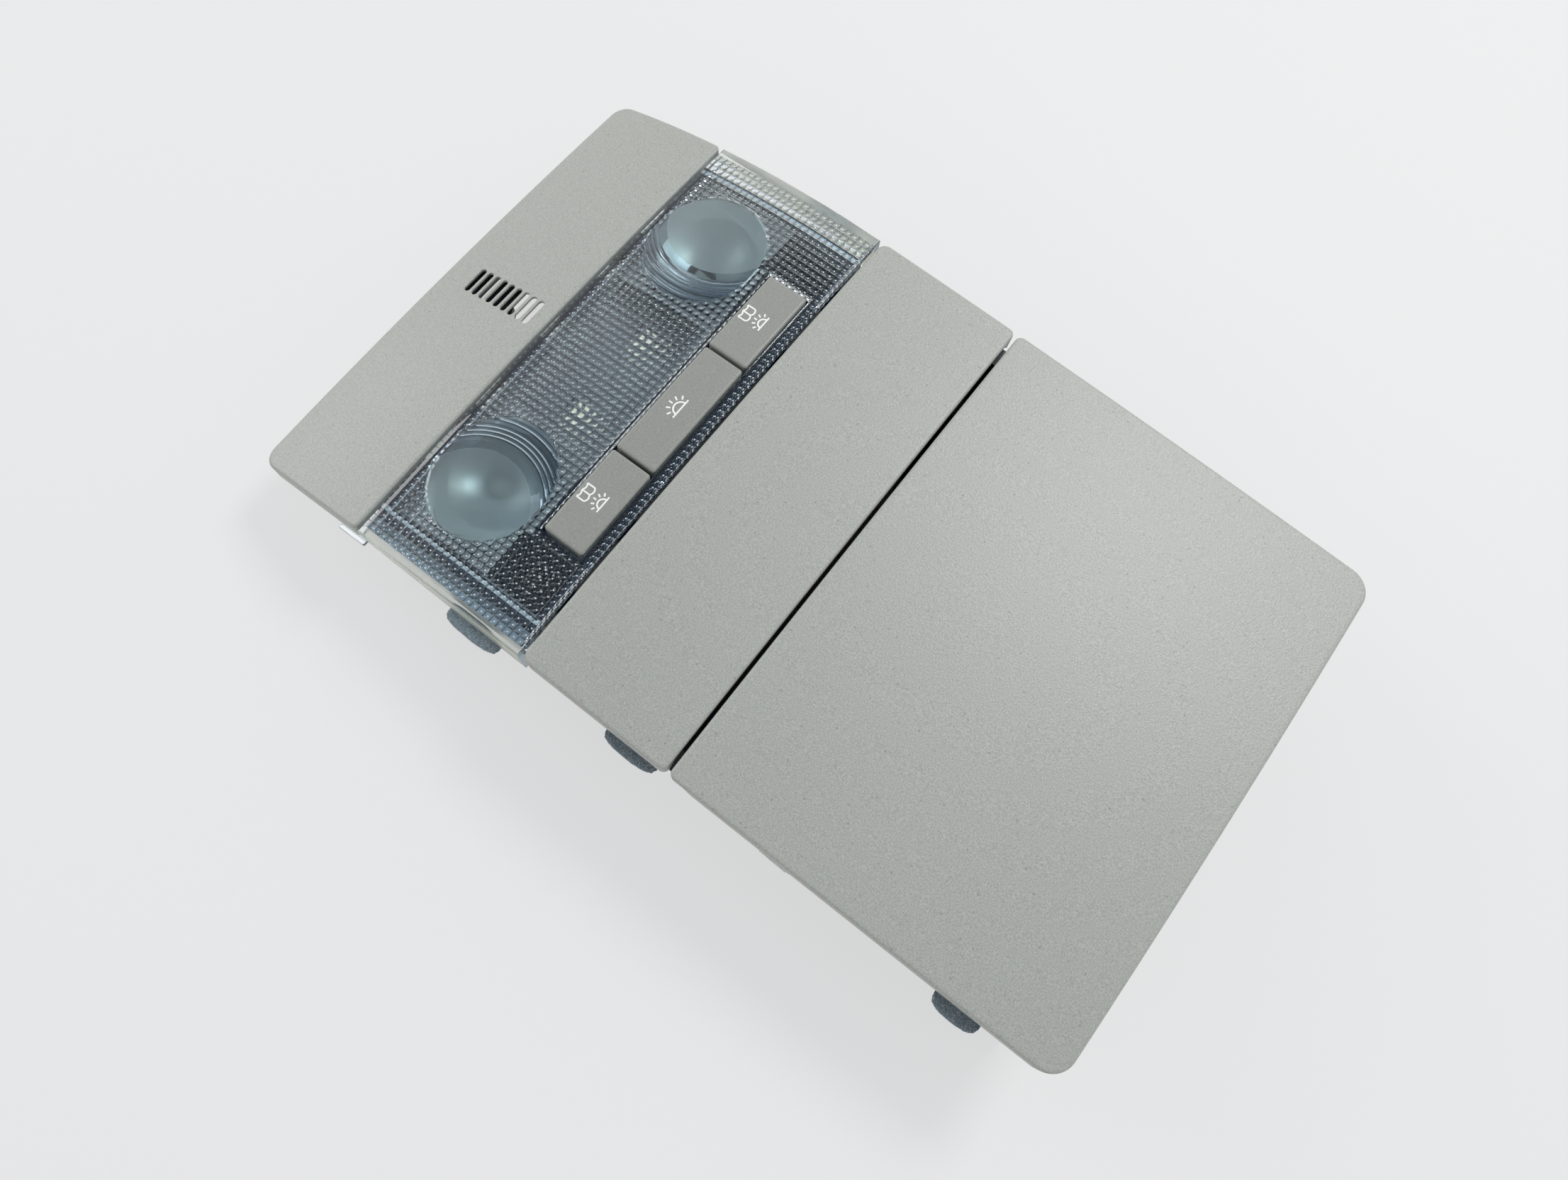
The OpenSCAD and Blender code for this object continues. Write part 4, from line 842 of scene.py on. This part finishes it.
for label, sign in (("left", -1), ("right", 1)):
    pts = np.concatenate([upper, lower]) * np.array([sign, 1, 1])
    optic = piece(f"reading_optic_{label}", pts, optic_faces, clear_pc, "console",
                  30, merge=0.015 * MM)
    optic.data.materials.append(etched_pc)
    optic.data.materials.append(edge_pc)
    seam = bmesh.new()
    seam.from_mesh(optic.data)
    seam.normal_update()
    for f in seam.faces:
        c = f.calc_center_median()
        far = np.hypot(abs(c.x) - dome_x, c.y - optic_y)
        if f.normal.z < -0.2 and far < dome_r:
            f.material_index = 1
        # The walls take the edge material, and so does the last share of each ring's face, as
        # painted shade.
        elif far > ring_first and (abs(f.normal.z) < 0.6 or (
                f.normal.z < 0 and (far - ring_first) / ring_pitch % 1 > tooth_dark)):
            f.material_index = 2
    doubled = [f for f in seam.faces if f.calc_area() < 1e-13]
    bmesh.ops.delete(seam, geom=doubled, context="FACES")
    seam.to_mesh(optic.data)
    seam.free()
print("reading optics:", len(optic.data.polygons), "faces each")

# %% [markdown]
# ## Buttons and their symbols
# The caps are painted ABS with a soft rolled edge. The symbols are pad-printed lines 0.48 mm
# wide: an open book over a lamp with rays for the reading lights, and a larger lamp for the
# main light. Each line is a ribbon that lies on the cap.

# %% Button caps
cap_lift, cap_corner, cap_edge, cap_foot = 0.4 * MM, 0.9 * MM, 0.8 * MM, 3 * MM
cap_y = (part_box("button_centre")[0][1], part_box("button_centre")[1][1])
caps = {}
for label in ("left", "centre", "right"):
    lo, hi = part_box(f"button_{label}")
    mid_x, cap_w = (lo[0] + hi[0]) / 2, (hi[0] - lo[0]) / 2
    caps[label] = (mid_x, cap_w)


def button_cap(label):
    """The shell formula with the plan moved to the button and the skin read at its own x."""
    mid_x, cap_w = caps[label]
    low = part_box(f"button_{label}")[0][2] + cap_foot
    verts, faces = [], []

    def lattice(inset):
        X, Y = plan_lattice(cap_w, *cap_y, cap_corner, cap_corner, inset, 24, 14, 4)
        return X + mid_x, Y

    X, Y = lattice(cap_edge)
    shape = X.shape
    verts.append(np.stack([X, Y, skin(X, Y) + cap_lift], -1).reshape(-1, 3))
    faces.append(quads(*shape))
    loop, base = border_index(*shape), shape[0] * shape[1]
    n = len(loop)
    for a in np.radians([15, 30, 45, 60, 75, 90]):
        X, Y = lattice(cap_edge * (1 - np.sin(a)))
        x, y = border(X), border(Y)
        verts.append(np.stack([x, y, skin(x, y) + cap_lift - cap_edge * (1 - np.cos(a))], -1))
    verts.append(np.stack([x, y, 0 * x + low], -1))
    k = np.arange(n)
    faces.append(np.stack([loop, np.roll(loop, -1), base + np.roll(k, -1), base + k], -1)[:, ::-1])
    faces.append(quads(7, n, base, True, True))
    X, Y = lattice(0.0)
    start = base + 7 * n
    verts.append(np.stack([X, Y, 0 * X + low], -1).reshape(-1, 3))
    faces.append(quads(*shape, start, False, True))
    cap = piece(f"cap_{label}", np.concatenate(verts), np.concatenate(faces), button_abs,
                f"button_{label}", 40, merge=0.002 * MM)
    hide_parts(f"button_{label}")


for label in caps:
    button_cap(label)
print("caps:", {k: round(float(v[0]) * 1000, 1) for k, v in caps.items()})

# %% Printed symbols
line_w, ink_above, ink_below = 0.48 * MM, 0.03 * MM, 0.02 * MM


def ribbon(points, width=line_w):
    """A flat line of quads: each point p gives p +- w/2 times the normal of its direction."""
    p = np.asarray(points, float)
    d = np.gradient(p, axis=0)
    nrm = np.stack([-d[:, 1], d[:, 0]], -1) / np.maximum(np.linalg.norm(d, axis=1)[:, None], 1e-12)
    a, b = p + nrm * width / 2, p - nrm * width / 2
    xy = np.concatenate([a, b])
    n = len(p)
    i = np.arange(n - 1)
    low = np.stack([i, i + n, i + n + 1, i + 1], -1)
    return xy, low


def symbol(label, name, lines):
    """Joins the lines of a symbol into one mesh, 0.03 mm above the cap and 0.02 mm in it."""
    verts, faces, count = [], [], 0
    for line in lines:
        xy, f = ribbon(line)
        z = skin(xy[:, 0], xy[:, 1]) + cap_lift
        m = len(xy)
        verts += [np.column_stack([xy, z + ink_above]), np.column_stack([xy, z - ink_below])]
        n = m // 2
        rim_loop = np.concatenate([np.arange(n), np.arange(m - 1, n - 1, -1)])
        side = np.stack([rim_loop, np.roll(rim_loop, -1), np.roll(rim_loop, -1) + m,
                         rim_loop + m], -1)
        faces += [f + count, f[:, ::-1] + m + count, side + count]
        count += 2 * m
    return piece(name, np.concatenate(verts), np.concatenate(faces), ink_white,
                 f"button_{label}", 40)


def line(x0, y0, x1, y1, n=4):
    """n points at even steps from one end to the other."""
    s = np.linspace(0, 1, n)
    return np.column_stack([x0 + (x1 - x0) * s, y0 + (y1 - y0) * s])


def lamp_lines(cx, base, width, dome, ray, spread):
    """A base line, a half circle on it, and rays at even angles round the half circle."""
    a = np.linspace(0, np.pi, 17)
    out = [line(cx - width / 2, base, cx + width / 2, base)]
    out.append(np.column_stack([cx + dome * np.cos(a), base + dome * np.sin(a)]))
    for b in np.radians(np.linspace(30, 150, 5)):
        p = np.array([np.cos(b), np.sin(b)])
        a0, a1 = spread * p, (spread + ray) * p
        out.append(line(cx + a0[0], base + a0[1], cx + a1[0], base + a1[1]))
    return out


def book_lines(cx, cy, w, h):
    """Two pages: top and bottom edges are half waves, with the spine and two outer edges."""
    s = np.linspace(0, 1, 9)
    wave = -0.16 * h * np.sin(np.pi * s)
    out = []
    for side in (-1, 1):
        x = cx + side * s * w / 2
        out.append(np.column_stack([x, cy + h / 2 - 0.12 * h + wave]))
        out.append(np.column_stack([x, cy - h / 2 + wave]))
        out.append(line(cx + side * w / 2, cy - h / 2, cx + side * w / 2, cy + h / 2 - 0.12 * h))
    out.append(line(cx, cy - h / 2, cx, cy + h / 2 - 0.12 * h))
    return out


for label, sign in (("left", -1), ("right", 1)):
    x = sign * 35.0 * MM
    book = book_lines(x, y_mid + 15.6 * MM, 4.7 * MM, 3.0 * MM)
    lamp = lamp_lines(x, y_mid + 9.4 * MM, 5.3 * MM, 1.6 * MM, 1.0 * MM, 2.35 * MM)
    symbol(label, f"symbol_reading_{label}", book + lamp)
symbol("centre", "symbol_main", lamp_lines(-0.3 * MM, y_mid + 10.9 * MM, 6.8 * MM, 2.1 * MM,
                                           1.25 * MM, 2.85 * MM))
print("symbols printed on", len(caps), "caps")

# %% [markdown]
# ## Felt pads and foam
# Felt pads keep the unit from rattling against the headlining. Each is a die-cut strip with round
# ends and a fibrous, slightly swollen face, made as one closed lattice of rings.

# %% Felt pads
def soft_pad(name, node, mat, seed, rough=0.12 * MM, reach=1.0):
    """A flattened superellipse: x = a sign(cos)|cos|^0.75, y = b sign(sin)|sin|^0.6, pinched
    towards its lower and upper faces, with a fibre noise from four waves of fixed phase. reach
    is the share of the solid's width that it has, measured from the inner side."""
    lo, hi = (np.array(v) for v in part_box(node))
    outer = 0 if lo[0] < 0 else 1
    inner_x = (hi, lo)[outer][0]
    (lo, hi)[outer][0] = inner_x + ((lo, hi)[outer][0] - inner_x) * reach
    mid, size = (lo + hi) / 2, (hi - lo) / 2
    a = np.linspace(0, 2 * np.pi, 96, endpoint=False)
    b = np.linspace(-np.pi / 2, np.pi / 2, 17)
    A, B = np.meshgrid(a, b)

    def power(v, p):
        return np.sign(v) * np.abs(v) ** p

    cxy = power(np.cos(B), 0.35)
    x = size[0] * cxy * power(np.cos(A), 0.75)
    y = size[1] * cxy * power(np.sin(A), 0.6)
    z = size[2] * power(np.sin(B), 0.55)
    wave = sum(np.sin(k * A + seed * k) * np.cos((k % 5 + 1) * B + k) for k in (7, 13, 19, 29))
    grow = 1 - rough / size[0] * (0.5 + 0.25 * wave)
    pts = np.stack([mid[0] + x * grow, mid[1] + y * grow, mid[2] + z], -1).reshape(-1, 3)
    faces = quads(17, 96, 0, True)
    o = piece(name, pts, faces, mat, "console", 60, merge=0.01 * MM)
    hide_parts(node)


for i, node in enumerate(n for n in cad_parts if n.startswith("felt_pad")):
    reach = {"front": 0.93, "middle": 0.84, "rear": 0.95}[node.split("_")[-1]]
    soft_pad(node.replace("felt_pad", "felt"), node, felt_blue, i + 1, reach=reach)
soft_pad("foam_strip", "foam_pad", foam_white, 9, 0.3 * MM, 0.7)
print("felt pads and foam made")

# %% [markdown]
# ## Floor, light and camera
# The photograph has a pale table, soft light from the far right and a fainter one from the left.
# Where the camera sees the table, straight, mirrored or through the lens, most of its colour is
# a glow, which keeps it as even as the photograph's. The rest takes the light and the shadows.

# %% Floor
floor_mat, floor_tree, floor_shader = material("table_laminate_white_matt")
floor_co = add(floor_tree, "ShaderNodeTexCoord").outputs["Object"]
speck = add(floor_tree, "ShaderNodeTexNoise", (), {"Scale": 220.0, "Detail": 2.0},
            {"Vector": floor_co})
floor_mix = add(floor_tree, "ShaderNodeMix", {"data_type": "RGBA"},
                {6: rgb("#E9E9E9"), 7: rgb("#ECECEC")}, {0: speck.outputs["Fac"]})
floor_tree.links.new(floor_mix.outputs[2], floor_shader.inputs["Base Color"])
floor_shader.inputs["Roughness"].default_value = 0.7
floor_path = add(floor_tree, "ShaderNodeLightPath")
floor_seen = add(floor_tree, "ShaderNodeMath", {"operation": "MAXIMUM"}, (),
                 {0: floor_path.outputs["Is Camera Ray"], 1: floor_path.outputs["Is Glossy Ray"]})
floor_seen = add(floor_tree, "ShaderNodeMath", {"operation": "MAXIMUM"}, (),
                 {0: floor_seen.outputs[0], 1: floor_path.outputs["Is Transmission Ray"]})
glow_share = 0.72
floor_share = add(floor_tree, "ShaderNodeMath", {"operation": "MULTIPLY"}, {1: glow_share},
                  {0: floor_seen.outputs[0]})
floor_glow = add(floor_tree, "ShaderNodeEmission", (), {"Color": rgb("#ECECEC"), "Strength": 1.0})
floor_both = add(floor_tree, "ShaderNodeMixShader", (), (), {0: floor_share.outputs[0],
                 1: floor_shader.outputs[0], 2: floor_glow.outputs[0]})
floor_out = next(n for n in floor_tree.nodes if n.type == "OUTPUT_MATERIAL")
floor_tree.links.new(floor_both.outputs[0], floor_out.inputs["Surface"])
table_half = 3.0
floor_mesh = bpy.data.meshes.new("table")
gx, gy = np.meshgrid(*[np.linspace(-table_half, table_half, 9)] * 2)
floor_mesh.from_pydata(np.stack([gx, gy, 0 * gx - 0.05 * MM], -1).reshape(-1, 3).tolist(), [],
                       quads(9, 9).tolist())
floor_mesh.materials.append(floor_mat)
table = bpy.data.objects.new("table", floor_mesh)
bpy.context.scene.collection.objects.link(table)
print("table", 2 * table_half, "m wide")

# %% [markdown]
# The room is a sky that is pale at the horizon and grey-blue overhead, so that the clear lens
# mirrors something darker than the table. Of two square lamps, key_right stands to the right in
# the photograph, and fill_front, which is fainter, to the left.

# %% World and lamps
scene = bpy.context.scene
world = bpy.data.worlds.new("studio")
world.use_nodes = True
scene.world = world
wt = world.node_tree
wt.nodes.clear()
path = add(wt, "ShaderNodeLightPath")
seen = add(wt, "ShaderNodeMath", {"operation": "MAXIMUM"}, (),
           {0: path.outputs["Is Camera Ray"], 1: path.outputs["Is Transmission Ray"]})
sky = add(wt, "ShaderNodeTexCoord").outputs["Generated"]
sky_xyz = add(wt, "ShaderNodeSeparateXYZ", (), (), {0: sky})
sky_high = add(wt, "ShaderNodeMapRange", {"interpolation_type": "SMOOTHSTEP"},
               {"From Min": 0.45, "From Max": 0.88}, {"Value": sky_xyz.outputs[2]})
sky_tint = add(wt, "ShaderNodeMix", {"data_type": "RGBA"},
               {6: rgb("#F6F6F3"), 7: rgb("#5F7187")}, {0: sky_high.outputs[0]})
fill = add(wt, "ShaderNodeBackground", (), {"Strength": 0.9}, {"Color": sky_tint.outputs[2]})
back_tint = add(wt, "ShaderNodeMix", {"data_type": "RGBA"},
                {6: rgb("#EBEBEB"), 7: rgb("#4F6075")}, {0: sky_high.outputs[0]})
back = add(wt, "ShaderNodeBackground", (), {"Strength": 1.0}, {"Color": back_tint.outputs[2]})
both = add(wt, "ShaderNodeMixShader", (), (), {0: seen.outputs[0], 1: fill.outputs[0],
                                               2: back.outputs[0]})
add(wt, "ShaderNodeOutputWorld", (), (), {"Surface": both.outputs[0]})


def soft_box(name, place, target, size, power):
    """A white square area lamp at place that looks at target."""
    lamp = bpy.data.lights.new(name, "AREA")
    lamp.shape, lamp.size, lamp.energy = "SQUARE", size, power
    o = bpy.data.objects.new(name, lamp)
    o.location = place
    direction = Vector(target) - Vector(place)
    o.rotation_euler = direction.to_track_quat("-Z", "Y").to_euler()
    scene.collection.objects.link(o)


soft_box("key_right", (0.60, -0.18, 0.93), (0, 0, 0), 0.3, 6.3)
soft_box("fill_front", (-0.1, 1.15, 0.55), (0, 0.05, 0), 0.5, 3.5)
print("lamps placed")

# %% [markdown]
# The camera stands where a fit to the photograph's seams and corners put it.

# %% Camera
cam_data = bpy.data.cameras.new("photo_view")
cam_data.sensor_width, cam_data.lens = 36.0, 25.55
cam_data.clip_start, cam_data.clip_end = 0.01, 20.0
camera = bpy.data.objects.new("photo_view", cam_data)
right = Vector((0.6077, -0.7917, 0.0625))
up = Vector((0.7506, 0.5983, 0.2804))
backward = right.cross(up).normalized()
up = backward.cross(right).normalized()
turn = Matrix((right, up, backward)).transposed().to_4x4()
camera.matrix_world = Matrix.Translation((-99.8 * MM, -45.1 * MM, 329.6 * MM)) @ turn
scene.collection.objects.link(camera)
scene.camera = camera
scene.view_settings.view_transform = "Standard"
print("camera at", [round(v, 4) for v in camera.matrix_world.translation])
